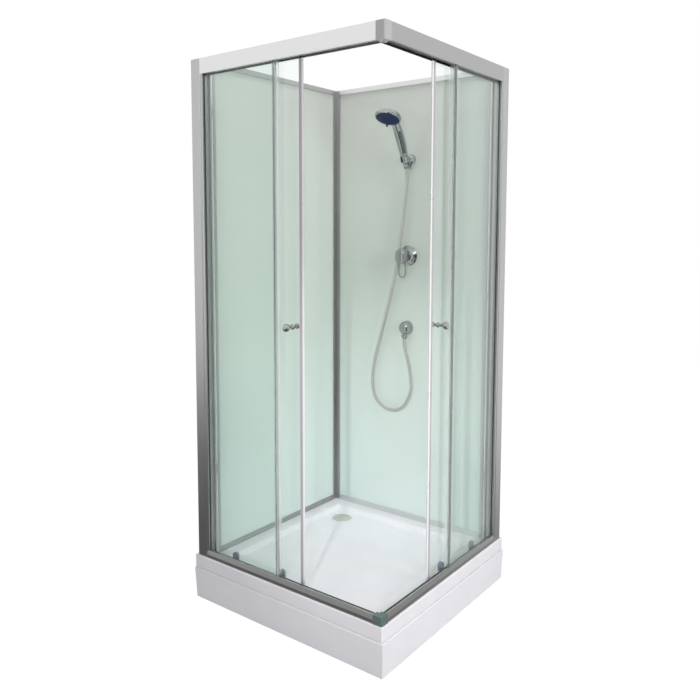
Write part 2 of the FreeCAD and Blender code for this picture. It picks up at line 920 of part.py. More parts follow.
def knob(edge):
    """Outer and inner knob, screwed together through the glass."""
    place = Vector(edge - knob_edge_distance, 0, knob_height)
    outside = place - ALONG_Y * door_outer
    inside = place - ALONG_Y * door_inner
    reach = glass_thickness + inner_knob_length / 2
    screw = rod(knob_screw_radius, outside, ALONG_Y, reach)
    outer_knob = turned(knob_profile(knob_length, knob_head_radius), outside, -ALONG_Y)
    inner_points = [
        (0, 0),
        (knob_foot_radius, 0),
        (knob_foot_radius, inner_knob_length / 2),
        (inner_knob_head_radius, inner_knob_length / 2),
        (inner_knob_head_radius, inner_knob_length),
        (0, inner_knob_length),
    ]
    inner_knob = turned(inner_points, inside, ALONG_Y)
    return outer_knob.fuse(screw), inner_knob.cut(screw)


knob_flare_share = 0.6       # where the head starts to flare, of the knob's length
knob_rim_share = 0.84


def knob_profile(length, head):
    """Half section: foot and flange, stem, flared head."""
    flange_end = knob_foot_height + knob_flange_height
    return [
        (0, 0),
        (knob_foot_radius, 0),
        (knob_foot_radius, knob_foot_height),
        (knob_flange_radius, knob_foot_height),
        (knob_flange_radius, flange_end),
        (knob_foot_radius, flange_end),
        (knob_foot_radius, length * knob_flare_share),
        (head, length * knob_rim_share),
        (head * knob_flare_share, length),
        (0, length),
    ]


def top_roller_stud(x):
    """Axle of a top wheel: cap outside the glass, shoulder inside it."""
    reach = glass_thickness + stud_shoulder + 2 * bore_gap + top_wheel_width
    start = Vector(x, -door_outer, top_wheel_height)
    stud = rod(stud_radius, start, ALONG_Y, reach)
    stud = stud.fuse(rod(stud_cap_radius, start, -ALONG_Y, stud_cap_height))
    shoulder_start = Vector(x, -door_inner, top_wheel_height)
    return stud.fuse(rod(stud_shoulder_radius, shoulder_start, ALONG_Y, stud_shoulder)).removeSplitter()


def wheel(radius, width, bore, place):
    """Door wheel centred on a place, with its axle along Y."""
    start = place - ALONG_Y * width / 2
    return rod(radius, start, ALONG_Y, width).cut(rod(bore + bore_gap, start, ALONG_Y, width))


def top_wheel(x):
    middle = door_inner - stud_shoulder - bore_gap - top_wheel_width / 2
    place = Vector(x, -middle, top_wheel_height)
    return wheel(top_wheel_radius, top_wheel_width, stud_radius, place)


def bottom_wheel(x):
    place = Vector(x, -fin_middle, bottom_wheel_height)
    return wheel(bottom_wheel_radius, bottom_wheel_width, block_axle_radius, place)


def bottom_roller_block(x):
    """Round-topped block inside the glass: holds a wheel over the bottom track."""
    half = block_width / 2
    low = bottom_track + block_floor_gap
    spring = low + block_height - half
    back = door_inner - block_thickness
    lower = block(x - half, x + half, -door_inner, -back, low, spring)
    start = Vector(x, -door_inner, spring)
    body = lower.fuse(rod(half, start, ALONG_Y, block_thickness))
    slack = bottom_wheel_width / 2 + 2 * bore_gap
    room = bottom_wheel_radius + running_gap + fit_gap
    pocket = rod(room, Vector(x, -fin_middle - slack, bottom_wheel_height), ALONG_Y, 2 * slack)
    mouth = block(
        x - room, x + room, -fin_middle - slack, slack - fin_middle,
        low - overrun, bottom_wheel_height,
    )
    body = body.cut(pocket).cut(mouth)
    axle = rod(block_axle_radius, Vector(x, -fin_middle - slack, bottom_wheel_height), ALONG_Y, 2 * slack)
    button = Vector(x, -door_outer - block_button_length, bottom_track + block_button_height)
    body = body.fuse(axle).fuse(rod(block_button_radius, button, ALONG_Y, block_button_length))
    neck = block_button_length + glass_thickness + extrusion_wall
    return body.fuse(rod(stud_radius, button, ALONG_Y, neck)).removeSplitter()


# Shower set on the right back wall

def on_wall(line, height, out=0.0):
    """Place on the right wall, a distance out from its panel's face."""
    return Vector(line, wall_face - out, height)


OUT = -ALONG_Y
panel_hole_radius = cartridge_radius + fit_gap


def mixer_plate():
    """Round wall plate with the sleeve that covers the cartridge."""
    bore = cartridge_radius + fit_gap
    points = [
        (bore, 0),
        (mixer_plate_radius, 0),
        (mixer_plate_radius, mixer_plate_edge),
        (mixer_plate_radius - mixer_plate_bevel, mixer_plate_height),
        (mixer_sleeve_radius, mixer_plate_height),
        (mixer_sleeve_radius, mixer_sleeve_length),
        (bore, mixer_sleeve_length),
    ]
    return turned(points, on_wall(mixer_line, mixer_height), OUT)


def mixer_cartridge():
    """Turning core: shaft in the valve, a slot for the lever's blade and its pin."""
    back = panel_thickness + cartridge_depth
    front = mixer_pivot + cartridge_nose
    core = rod(cartridge_radius, on_wall(mixer_line, mixer_height, -back), OUT, back + front)
    width = mixer_blade_half_width + running_gap
    drop = mixer_eye_radius + running_gap + fit_gap
    slot = block(
        mixer_line - width, mixer_line + width,
        wall_face - front - overrun, wall_face - mixer_pivot + drop,
        mixer_height - drop, mixer_height + mixer_slot_rise,
    )
    pin_start = on_wall(mixer_line, mixer_height, mixer_pivot) - ALONG_X * cartridge_radius / 2
    return core.cut(slot).fuse(rod(mixer_pin_radius, pin_start, ALONG_X, cartridge_radius)).removeSplitter()


def stadium(half, top, bottom, back, front):
    """Upright plate with round ends on the mixer's line, between two distances out."""
    plate = block(
        mixer_line - half, mixer_line + half, wall_face - front, wall_face - back,
        bottom + half, top - half,
    )
    for height in (bottom + half, top - half):
        plate = plate.fuse(rod(half, on_wall(mixer_line, height, back), OUT, front - back))
    return plate.removeSplitter()


def lever_loop():
    """Open loop of the lever, hanging from the cap."""
    tip = mixer_height - lever_length
    front = lever_back + lever_thickness
    plate = stadium(lever_half_width, mixer_height, tip, lever_back, front)
    hole = stadium(
        lever_half_width - lever_bar, mixer_height - lever_hole_top, tip + lever_bar,
        lever_back - overrun, front + overrun,
    )
    return plate.cut(hole)


def handle_cap():
    """Oval cap in front of the cartridge, with a rounded front edge."""
    top = mixer_height + handle_cap_half_height
    bottom = mixer_height - handle_cap_half_height
    cap = stadium(handle_cap_half_width, top, bottom, handle_cap_back, handle_cap_front)
    face = wall_face - handle_cap_front

    def front_edge(box):
        return near(box.YMin, face) and near(box.YMax, face)

    return rounded(cap, handle_cap_round, front_edge)


def mixer_handle():
    """Cap with its loop lever, on a blade that pivots inside the cartridge."""
    cap = handle_cap().fuse(lever_loop())
    pivot = on_wall(mixer_line, mixer_height, mixer_pivot)
    blade = block(
        mixer_line - mixer_blade_half_width, mixer_line + mixer_blade_half_width,
        wall_face - handle_cap_front + handle_cap_round, wall_face - mixer_pivot,
        mixer_height - mixer_blade_half_height, mixer_height + mixer_blade_half_height,
    )
    eye_start = pivot - ALONG_X * mixer_blade_half_width
    eye = rod(mixer_eye_radius, eye_start, ALONG_X, 2 * mixer_blade_half_width)
    hole = rod(mixer_pin_radius + bore_gap, eye_start, ALONG_X, 2 * mixer_blade_half_width)
    return cap.fuse(blade).fuse(eye).cut(hole).removeSplitter()


def mixer_valve():
    """Cast valve block behind the panel: hot and cold inlets, and the outlet below."""
    body = block(
        mixer_line - valve_half_width, mixer_line + valve_half_width,
        panel_back, panel_back + valve_depth,
        mixer_height - valve_half_width, mixer_height + valve_half_width,
    )
    centre = on_wall(mixer_line, mixer_height, -inlet_depth)
    seat = panel_thickness + cartridge_depth + running_gap
    core = rod(cartridge_radius + fit_gap, on_wall(mixer_line, mixer_height, -seat), OUT, seat)
    for direction in (ALONG_X, -ALONG_X, -UP):
        body = body.fuse(rod(inlet_radius, centre, direction, inlet_reach))
    for direction in (ALONG_X, -ALONG_X, -UP):
        body = body.cut(rod(inlet_bore, centre, direction, inlet_reach + overrun))
    return body.cut(core).removeSplitter()


outlet_dome_shares = ((0.0, 1.0), (0.5, 1.0), (0.85, 0.75))


def wall_outlet():
    """Domed elbow for the hose, with a threaded tail through the panel."""
    points = []
    for radius_share, reach_share in outlet_dome_shares:
        points.append((outlet_radius * radius_share, outlet_reach * reach_share))
    points += [(outlet_radius, outlet_edge), (outlet_radius, 0), (0, 0)]
    dome = turned(points, on_wall(outlet_line, outlet_height), OUT)
    tail = rod(tail_radius, on_wall(outlet_line, outlet_height), ALONG_Y, tail_length)
    drop = outlet_radius + spout_length - outlet_edge
    spout = rod(spout_radius, on_wall(outlet_line, outlet_height, outlet_axis), -UP, drop)
    tail_hole = rod(tail_bore, on_wall(outlet_line, outlet_height), ALONG_Y, tail_length + overrun)
    return dome.fuse(tail).fuse(spout).cut(tail_hole).removeSplitter()


def outlet_back_nut():
    start = on_wall(outlet_line, outlet_height, -panel_thickness)
    nut = hexagon(back_nut_width, back_nut_height, start, ALONG_Y)
    return nut.cut(rod(tail_radius + fit_gap, start, ALONG_Y, back_nut_height))


def right_wall_panel():
    panel = across_diagonal(wall_panel())
    reach = panel_thickness + 2 * overrun
    mixer_hole = rod(panel_hole_radius, on_wall(mixer_line, mixer_height, overrun), ALONG_Y, reach)
    tail_hole = rod(tail_radius + fit_gap, on_wall(outlet_line, outlet_height, overrun), ALONG_Y, reach)
    return panel.cut(mixer_hole).cut(tail_hole)


# Bracket and hand shower: the ring's axis leans out from the wall at its top

ring_centre = on_wall(bracket_line, bracket_height, bracket_reach)
lean = math.radians(bracket_tilt)
ring_axis = Vector(0, -math.sin(lean), math.cos(lean))
ring_front = Vector(0, -math.cos(lean), -math.sin(lean))
cone_slope = (cone_top_radius - cone_bottom_radius) / ring_height


def along_ring(distance):
    return ring_centre + ring_axis * distance


def shield_wire(grow, out):
    """Shield outline on the wall: a round top that runs down to a small round tip."""
    radius = shield_radius + grow
    tip = shield_tip_radius + grow
    angle = math.asin((radius - tip) / shield_drop)
    side = Vector(math.cos(angle), 0, -math.sin(angle))
    mirrored = Vector(-side.x, 0, side.z)
    top = on_wall(bracket_line, bracket_height, out)
    low = top - UP * shield_drop
    right_top = top + side * radius
    left_top = top + mirrored * radius
    right_low = low + side * tip
    left_low = low + mirrored * tip
    edges = [
        Part.Arc(left_top, top + UP * radius, right_top).toShape(),
        Part.LineSegment(right_top, right_low).toShape(),
        Part.Arc(right_low, low - UP * tip, left_low).toShape(),
        Part.LineSegment(left_low, left_top).toShape(),
    ]
    return Part.Wire(edges)


def shower_bracket():
    """Shield on the wall, an arm, and a slotted ring that the handle drops into."""
    base = Part.makeLoft([shield_wire(0, 0), shield_wire(-shield_bevel, shield_height)], True, True)
    arm = rod(bracket_arm_radius, on_wall(bracket_line, bracket_height, 0), OUT, bracket_reach)
    half = ring_height / 2
    ring = rod(ring_outer_radius, along_ring(-half), ring_axis, ring_height)
    low = cone_bottom_radius + running_gap - cone_slope * overrun
    high = cone_top_radius + running_gap + cone_slope * overrun
    length = ring_height + 2 * overrun
    bore = Part.makeCone(low, high, length, along_ring(-half - overrun), ring_axis)
    slot = Part.makeBox(ring_slot_width, ring_outer_radius + overrun, length)
    slot.translate(Vector(-ring_slot_width / 2, -ring_outer_radius - overrun, -length / 2))
    slot.Placement = FreeCAD.Placement(
        ring_centre, FreeCAD.Rotation(ALONG_X, bracket_tilt)
    ).multiply(slot.Placement)
    return base.fuse(arm).fuse(ring).cut(bore).cut(slot).removeSplitter()


bend = math.radians(handle_bend)
bend_radius = handle_length / bend
bend_centre = ring_centre - Vector(0, math.cos(lean), math.sin(lean)) * bend_radius


def handle_point(share):
    """Place on the handle's bent centre line, and the direction there."""
    angle = lean + bend * share
    place = bend_centre + Vector(0, math.cos(angle), math.sin(angle)) * bend_radius
    return place, Vector(0, -math.sin(angle), math.cos(angle))


def bent_rod(radius, start, end):
    """Round stretch of the handle between two distances from the middle of the ring."""
    place, direction = handle_point(start / handle_length)
    section = Part.Face(Part.Wire(Part.makeCircle(radius, place, direction)))
    return section.revolve(bend_centre, ALONG_X, handle_bend * (end - start) / handle_length)


head_lean = math.radians(head_face_tilt)
head_axis = Vector(0, math.sin(head_lean), math.cos(head_lean))
head_back = Vector(0, math.cos(head_lean), -math.sin(head_lean))
handle_end = handle_point(1.0)[0]
face_centre = handle_end - head_back * head_joint_radius - head_axis * head_joint_height


def hand_shower():
    """Handle with a cone at its foot, and the round head with a recess for the face."""
    low = cone_bottom_radius - cone_slope * (handle_foot - ring_height / 2)
    cone_length = handle_foot + ring_height / 2
    foot = Part.makeCone(low, cone_top_radius, cone_length, along_ring(-handle_foot), ring_axis)
    stem = bent_rod(cone_bottom_radius, 0, handle_shoulder + overrun)
    grip = bent_rod(handle_radius, handle_shoulder, handle_length)
    neck = Part.makeCone(handle_radius, neck_tip_radius, neck_length, handle_end, -head_back)
    points = [
        (0, 0),
        (head_radius - spray_proud, 0),
        (head_radius, head_rim_height),
        (head_radius * head_shoulder_share, head_shoulder_height),
        (head_radius * head_crown_share, head_height),
        (0, head_height),
    ]
    head = turned(points, face_centre, head_axis)
    body = foot.fuse(stem).fuse(grip).fuse(neck).fuse(head)
    start = face_centre - head_axis * head_height
    recess = rod(spray_radius + running_gap, start, head_axis, head_height + spray_depth)
    return body.cut(recess).removeSplitter()


def spray_face():
    """Turning spray face in the head, with the selector tab on its edge."""
    front = -spray_proud
    back = spray_depth - running_gap
    points = [
        (0, front),
        (spray_radius - spray_proud, front),
        (spray_radius, 0),
        (spray_radius, back),
        (0, back),
    ]
    face = turned(points, Vector(0, 0, 0), UP)
    root = spray_radius * selector_root_share
    half = selector_width / 2
    tab = block(root, selector_reach, -half, half, front - selector_thickness, front)
    face = face.fuse(tab)
    turn = FreeCAD.Rotation(UP, 90 + selector_angle)
    face.Placement = FreeCAD.Placement(face_centre, FreeCAD.Rotation(UP, head_axis).multiply(turn))
    return face


# Hose

def hose_top_nut():
    """Round nut under the handle."""
    return rod(top_nut_radius, hose_top_start, -ring_axis, top_nut_length)


def hose_bottom_nut():
    """Hexagonal nut under the outlet's spout, with a round ferrule below it."""
    length = bottom_nut_length * bottom_nut_hex_share
    nut = hexagon(bottom_nut_width, length, hose_bottom_start, -UP)
    return nut.fuse(rod(ferrule_radius, hose_bottom_start, -UP, bottom_nut_length)).removeSplitter()


hose_top_start = along_ring(-handle_foot)
spout_end = outlet_height - outlet_radius - spout_length + outlet_edge
hose_bottom_start = on_wall(outlet_line, spout_end, outlet_axis)
hose_top = along_ring(-handle_foot - top_nut_length)
hose_bottom = hose_bottom_start - UP * bottom_nut_length

# Route between the nuts, chosen by hand. First places measured from the top nut's end,
# then places measured from the bottom nut's end: down past the mixer, a loop, up to the outlet.
hose_exit = 27.5
below_top = [
    (-7.0, 17.5, -68.0),
    (-17.0, 16.5, -153.0),
    (-39.0, 20.0, -308.0),
    (-68.0, 18.5, -483.0),
]
round_bottom = [
    (-103.0, 1.0, 79.0),
    (-156.0, 1.0, -101.0),
    (-173.5, 1.0, -201.0),
    (-156.0, 1.0, -287.0),
    (-90.0, 1.0, -332.0),
    (-10.0, 1.0, -319.0),
    (37.0, 1.0, -239.0),
    (35.0, 1.0, -175.0),
    (22.0, 0.6, -105.0),
    (7.0, 0.2, -55.0),
    (0.0, 0.0, -28.0),
]
hose_route = [hose_top, hose_top - ring_axis * hose_exit]
hose_route += [hose_top + Vector(x, y, z) for x, y, z in below_top]
hose_route += [hose_bottom + Vector(x, y, z) for x, y, z in round_bottom]
hose_route.append(hose_bottom)
arc_share = 0.45


def hose_path():
    """Straight runs joined by tangent arcs, each as large as its two runs allow."""
    edges = []
    radii = []
    last = hose_route[0]
    for before, corner, after in zip(hose_route, hose_route[1:], hose_route[2:]):
        inward = corner - before
        onward = after - corner
        turn = inward.getAngle(onward)
        reach = arc_share * min(inward.Length, onward.Length)
        radii.append(reach / math.tan(turn / 2))
        inward.normalize()
        onward.normalize()
        start = corner - inward * reach
        end = corner + onward * reach
        bisector = onward - inward
        bisector.normalize()
        sagitta = radii[-1] * (1 / math.cos(turn / 2) - 1)
        edges.append(Part.LineSegment(last, start).toShape())
        edges.append(Part.Arc(start, corner + bisector * sagitta, end).toShape())
        last = end
    edges.append(Part.LineSegment(last, hose_route[-1]).toShape())
    return Part.Wire(edges), radii


def shower_hose():
    path, radii = hose_path()
    ring = Part.Wire(Part.makeCircle(hose_radius, hose_route[0], hose_route[1] - hose_route[0]))
    hose = path.makePipeShell([ring], True, False)
    section = math.pi * hose_radius ** 2
    print("hose radii", [round(radius) for radius in radii])
    print("hose length", round(path.Length), "volume share", round(hose.Volume / section / path.Length, 4))
    return hose


def write_tray():
    write("shower_tray", shower_tray())
    write("tray_skirt", tray_skirt())
    write("tray_support_frame", tray_support_frame())
    write("levelling_feet", *[levelling_foot(x, y) for x, y in foot_places])
    write("foot_lock_nuts", *[foot_lock_nut(x, y) for x, y in foot_places])
    write("drain_flange", drain_flange())
    write("drain_cap", drain_cap())
    write("drain_trap", drain_trap())


def write_pair(name, shape):
    write("left_" + name, shape)
    write("right_" + name, across_diagonal(shape))


def write_frame():
    write_pair("post", post())
    write_pair("glazing_channel", glazing_channel())
    gasket = glazing_gasket()
    write("glazing_gaskets", gasket, across_diagonal(gasket))
    write_pair("top_rail", top_rail())
    write_pair("bottom_rail", bottom_rail())
    write("top_corner_connector", top_corner_connector())
    write("bottom_corner_connector", bottom_corner_connector())
    write("back_corner_post", back_corner_post())
    bottom_slot = wall_rail_bottom_face - slot_depth - fit_gap
    top_slot = wall_rail_top_face + slot_depth + fit_gap
    write_pair("wall_bottom_rail", wall_rail(tray_height, wall_rail_bottom_face, bottom_slot))
    write_pair("wall_top_rail", wall_rail(cabin_height, wall_rail_top_face, top_slot))
    write("left_wall_panel", wall_panel())
    write("right_wall_panel", right_wall_panel())
    write_pair("fixed_glass", fixed_glass())
    seal = fixed_seal()
    write("fixed_seals", seal, across_diagonal(seal))


def same(shape):
    return shape


def write_door(name, edge, side):
    """One door; side places a left-hand piece on its own side of the cabin."""
    write(name + "_door_glass", side(door_glass(edge)))
    write(name + "_magnet_seal", side(magnet_seal(edge)))
    write(name + "_knob", *[side(piece) for piece in knob(edge)])
    studs = [top_roller_stud(edge - offset) for offset in top_wheel_offsets]
    write(name + "_top_roller_studs", *[side(stud) for stud in studs])
    blocks = [bottom_roller_block(edge - offset) for offset in bottom_wheel_offsets]
    write(name + "_bottom_roller_blocks", *[side(piece) for piece in blocks])
    for end, offset in zip(("front", "rear"), top_wheel_offsets):
        write("%s_top_%s_wheel" % (name, end), side(top_wheel(edge - offset)))
    for end, offset in zip(("front", "rear"), bottom_wheel_offsets):
        write("%s_bottom_%s_wheel" % (name, end), side(bottom_wheel(edge - offset)))


def write_shower():
    write("mixer_plate", mixer_plate())
    write("mixer_cartridge", mixer_cartridge())
    write("mixer_handle", mixer_handle())
    write("mixer_valve", mixer_valve())
    write("wall_outlet", wall_outlet())
    write("outlet_back_nut", outlet_back_nut())
    write("shower_bracket", shower_bracket())
    write("hand_shower", hand_shower())
    write("spray_face", spray_face())
    write("hose_top_nut", hose_top_nut())
    write("hose_bottom_nut", hose_bottom_nut())
    write("shower_hose", shower_hose())


os.makedirs("parts", exist_ok=True)
write_tray()
write_frame()
write_door("left", left_door_edge, same)
write_door("right", right_door_edge, across_diagonal)
write_shower()
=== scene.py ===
# %% [markdown]
# # A shower cabin, dressed piece by piece
# The cabin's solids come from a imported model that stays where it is. This lesson
# gives them their finishes, replaces the pieces whose smooth curves matter most,
# and adds the fine parts: the ribbed hose, the spray nozzles and the grip strips.

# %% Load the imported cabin
import json
import math
import bmesh
import bpy
from mathutils import Matrix, Vector


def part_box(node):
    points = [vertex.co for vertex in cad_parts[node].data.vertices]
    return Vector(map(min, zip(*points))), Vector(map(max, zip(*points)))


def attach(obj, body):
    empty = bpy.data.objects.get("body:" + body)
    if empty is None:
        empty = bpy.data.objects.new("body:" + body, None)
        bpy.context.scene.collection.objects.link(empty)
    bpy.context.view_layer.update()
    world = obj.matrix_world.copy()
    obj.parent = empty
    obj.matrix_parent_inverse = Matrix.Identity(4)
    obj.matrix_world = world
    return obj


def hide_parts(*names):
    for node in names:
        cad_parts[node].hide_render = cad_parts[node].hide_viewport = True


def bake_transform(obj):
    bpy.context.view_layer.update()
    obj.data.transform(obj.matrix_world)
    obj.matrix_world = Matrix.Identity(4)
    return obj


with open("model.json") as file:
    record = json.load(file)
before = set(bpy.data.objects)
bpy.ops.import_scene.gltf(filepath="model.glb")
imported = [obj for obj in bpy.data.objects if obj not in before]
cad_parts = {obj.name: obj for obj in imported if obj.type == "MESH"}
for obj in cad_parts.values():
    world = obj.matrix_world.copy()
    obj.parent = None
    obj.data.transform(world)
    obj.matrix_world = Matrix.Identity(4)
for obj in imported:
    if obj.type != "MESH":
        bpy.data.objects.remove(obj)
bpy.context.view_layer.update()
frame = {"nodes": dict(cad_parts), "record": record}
nodes = frame["nodes"]
scene = bpy.context.scene

# %% [markdown]
# ## Camera
# The photograph looks at the front corner, a little down. A camera can be placed
# by eye or solved from known lengths. Here it was solved from the tray, posts and
# rails, and the lens shift moves the frame without turning the upright lines.

# %% Camera
camera_data = bpy.data.cameras.new("corner_camera")
camera_data.sensor_width = 36.0
camera_data.lens = 37.5
camera_data.shift_x = 0.0241
camera_data.shift_y = -0.0779
camera = bpy.data.objects.new("corner_camera", camera_data)
camera.location = (1.7064, -2.3185, 1.4529)
camera.rotation_euler = (math.radians(90 - 5.08), 0.0, math.radians(37.97))
scene.collection.objects.link(camera)
scene.camera = camera
print("camera at", tuple(round(value, 2) for value in camera.location))

# %% [markdown]
# ## Helpers for finishes
# Every finish is one Principled shader with a pattern that reads the piece's own
# coordinates in metres. A helper keeps each finish to the few lines that differ.

# %% Finish helpers
def finish(name, color, roughness, metallic=0.0):
    """A material with one Principled shader; returns the material and its shader."""
    material = bpy.data.materials.new(name)
    material.use_nodes = True
    shader = material.node_tree.nodes["Principled BSDF"]
    shader.inputs["Base Color"].default_value = (*color, 1.0)
    shader.inputs["Roughness"].default_value = roughness
    shader.inputs["Metallic"].default_value = metallic
    return material, shader


def noise_on(material, stretch, scale=1.0, detail=3.0):
    """Noise in object coordinates, stretched by a scale for each axis."""
    tree = material.node_tree
    place = tree.nodes.new("ShaderNodeTexCoord")
    mapping = tree.nodes.new("ShaderNodeMapping")
    mapping.inputs["Scale"].default_value = stretch
    noise = tree.nodes.new("ShaderNodeTexNoise")
    noise.inputs["Scale"].default_value = scale
    noise.inputs["Detail"].default_value = detail
    tree.links.new(place.outputs["Object"], mapping.inputs["Vector"])
    tree.links.new(mapping.outputs["Vector"], noise.inputs["Vector"])
    return noise.outputs["Fac"]


def spread(material, value, low, high):
    """Remap a noise value to a range of plain numbers."""
    remap = material.node_tree.nodes.new("ShaderNodeMapRange")
    remap.inputs["From Min"].default_value = 0.3
    remap.inputs["From Max"].default_value = 0.7
    remap.inputs["To Min"].default_value = low
    remap.inputs["To Max"].default_value = high
    material.node_tree.links.new(value, remap.inputs["Value"])
    return remap.outputs["Result"]


def tones(material, value, dark, light, low=0.3, high=0.7):
    """Colour ramp between two tones."""
    ramp = material.node_tree.nodes.new("ShaderNodeValToRGB")
    ramp.color_ramp.elements[0].position = low
    ramp.color_ramp.elements[0].color = (*dark, 1.0)
    ramp.color_ramp.elements[1].position = high
    ramp.color_ramp.elements[1].color = (*light, 1.0)
    material.node_tree.links.new(value, ramp.inputs["Fac"])
    return ramp.outputs["Color"]


def color_by(material, shader, value, dark, light):
    """Let a pattern value set the colour, between two tones."""
    color = tones(material, value, dark, light)
    material.node_tree.links.new(color, shader.inputs["Base Color"])


def gloss_by(material, shader, value, low, high):
    """Let a pattern value set the roughness, between two numbers."""
    rough = spread(material, value, low, high)
    material.node_tree.links.new(rough, shader.inputs["Roughness"])


def dent(material, shader, value, strength, distance):
    """Shallow relief from a pattern value."""
    bump = material.node_tree.nodes.new("ShaderNodeBump")
    bump.inputs["Strength"].default_value = strength
    bump.inputs["Distance"].default_value = distance
    material.node_tree.links.new(value, bump.inputs["Height"])
    material.node_tree.links.new(bump.outputs["Normal"], shader.inputs["Normal"])


print("finish helpers ready")

# %% [markdown]
# ## Chrome
# Knobs, mixer, hose and hand shower are chrome plated. Chrome has almost no colour
# of its own, so the finish is a smooth metal with faint changes of gloss, as a
# wiped surface has, and the studio gives it something dark to mirror.

# %% Chrome
chrome, shader = finish("chrome", (0.42, 0.435, 0.43), 0.07, 1.0)
cloud = noise_on(chrome, (60, 60, 60))
gloss_by(chrome, shader, cloud, 0.04, 0.1)
hose_metal, shader = finish("hose_metal", (0.68, 0.655, 0.63), 0.3, 1.0)
wear = noise_on(hose_metal, (400, 400, 400))
color_by(hose_metal, shader, wear, (0.66, 0.635, 0.61), (0.70, 0.675, 0.65))
gloss_by(hose_metal, shader, wear, 0.26, 0.36)
print("finishes:", chrome.name, hose_metal.name)

# %% [markdown]
# ## Hose
# The metal shower hose hangs from the hand shower, makes a loop and comes up into
# the wall outlet. A smooth spline through the route's control points gives the
# hanging line, and Geometry Nodes sweep a ring along it whose radius rises and
# falls once for each rib, which is simpler than modelling hundreds of ribs.

# %% Hose line
hose_top = Vector((0.019, 0.348361, 1.717558))
hose_bottom = Vector((0.006, 0.366, 0.981198))
below_top = [
    (0.0, 0.008498, -0.026154), (-0.007, 0.0175, -0.068), (-0.017, 0.0165, -0.153),
    (-0.039, 0.020, -0.308), (-0.068, 0.0185, -0.483),
]
round_bottom = [
    (-0.103, 0.001, 0.079), (-0.156, 0.001, -0.101), (-0.1735, 0.001, -0.201),
    (-0.156, 0.001, -0.287), (-0.090, 0.001, -0.332), (-0.010, 0.001, -0.319),
    (0.037, 0.001, -0.239), (0.035, 0.001, -0.175), (0.022, 0.0006, -0.105),
    (0.007, 0.0002, -0.055), (0.0, 0.0, -0.028),
]
route = [hose_top] + [hose_top + Vector(step) for step in below_top]
route += [hose_bottom + Vector(step) for step in round_bottom] + [hose_bottom]
hose_curve = bpy.data.curves.new("hose_line", "CURVE")
hose_curve.dimensions = "3D"
hose_curve.resolution_u = 24
line = hose_curve.splines.new("NURBS")
line.points.add(len(route) - 1)
for point, place in zip(line.points, route):
    point.co = (*place, 1.0)
line.order_u = 3
line.use_endpoint_u = True
hose_line = bpy.data.objects.new("hose_line", hose_curve)
scene.collection.objects.link(hose_line)
line_mesh = bpy.data.meshes.new_from_object(hose_line)

# %% Node helpers
def node_tree(name, sizes):
    """Empty geometry tree with named size inputs and one geometry in and out."""
    tree = bpy.data.node_groups.new(name, "GeometryNodeTree")
    tree.interface.new_socket("Geometry", in_out="INPUT", socket_type="NodeSocketGeometry")
    for label, kind in sizes:
        tree.interface.new_socket(label, in_out="INPUT", socket_type=kind)
    tree.interface.new_socket("Geometry", in_out="OUTPUT", socket_type="NodeSocketGeometry")
    return tree, tree.nodes.new("NodeGroupInput"), tree.nodes.new("NodeGroupOutput")


def math_node(tree, operation, first, second):
    """Math node on two sockets or numbers."""
    node = tree.nodes.new("ShaderNodeMath")
    node.operation = operation
    for socket, value in zip(node.inputs, (first, second)):
        if isinstance(value, (int, float)):
            socket.default_value = value
        else:
            tree.links.new(value, socket)
    return node.outputs[0]


def close_tree(tree, geometry, inputs, outputs):
    """Realize the instances, set the material, and pass the result out."""
    realize = tree.nodes.new("GeometryNodeRealizeInstances")
    paint = tree.nodes.new("GeometryNodeSetMaterial")
    tree.links.new(geometry, realize.inputs["Geometry"])
    tree.links.new(realize.outputs["Geometry"], paint.inputs["Geometry"])
    tree.links.new(inputs.outputs["Finish"], paint.inputs["Material"])
    tree.links.new(paint.outputs["Geometry"], outputs.inputs["Geometry"])


def run_tree(tree, source, values):
    """Run a tree on an object and return its result as a plain mesh."""
    modifier = source.modifiers.new("shape", "NODES")
    modifier.node_group = tree
    for item in tree.interface.items_tree:
        if item.in_out == "INPUT" and item.name in values:
            modifier[item.identifier] = values[item.name]
    source.update_tag()
    graph = bpy.context.evaluated_depsgraph_get()
    mesh = bpy.data.meshes.new_from_object(source.evaluated_get(graph))
    source.modifiers.remove(modifier)
    return mesh


def add_piece(name, mesh, material=None):
    """Link a finished mesh as a piece of the cabin."""
    piece = bpy.data.objects.new(name, mesh)
    scene.collection.objects.link(piece)
    if material:
        mesh.materials.clear()
        mesh.materials.append(material)
    return piece


print("node helpers ready")

# %% Hose ribs
tree, inputs, outputs = node_tree("hose_ribs", [
    ("Radius", "NodeSocketFloat"), ("Rib pitch", "NodeSocketFloat"),
    ("Rib depth", "NodeSocketFloat"), ("Finish", "NodeSocketMaterial"),
])
resample = tree.nodes.new("GeometryNodeResampleCurve")
resample.mode = "LENGTH"
tree.links.new(inputs.outputs["Geometry"], resample.inputs["Curve"])
RINGS_PER_RIB = 4.0
step = math_node(tree, "DIVIDE", inputs.outputs["Rib pitch"], RINGS_PER_RIB)
tree.links.new(step, resample.inputs["Length"])
along = tree.nodes.new("GeometryNodeSplineParameter").outputs["Length"]
turns = math_node(tree, "DIVIDE", along, inputs.outputs["Rib pitch"])
wave = math_node(tree, "COSINE", math_node(tree, "MULTIPLY", turns, 2 * math.pi), 0.0)
drop = math_node(tree, "MULTIPLY", math_node(tree, "SUBTRACT", 1.0, wave), 0.5)
drop = math_node(tree, "MULTIPLY", drop, inputs.outputs["Rib depth"])
ring = tree.nodes.new("GeometryNodeCurvePrimitiveCircle")
ring.inputs["Resolution"].default_value = 16
ring.inputs["Radius"].default_value = 1.0
sweep = tree.nodes.new("GeometryNodeCurveToMesh")
sweep.inputs["Fill Caps"].default_value = True
tree.links.new(resample.outputs["Curve"], sweep.inputs["Curve"])
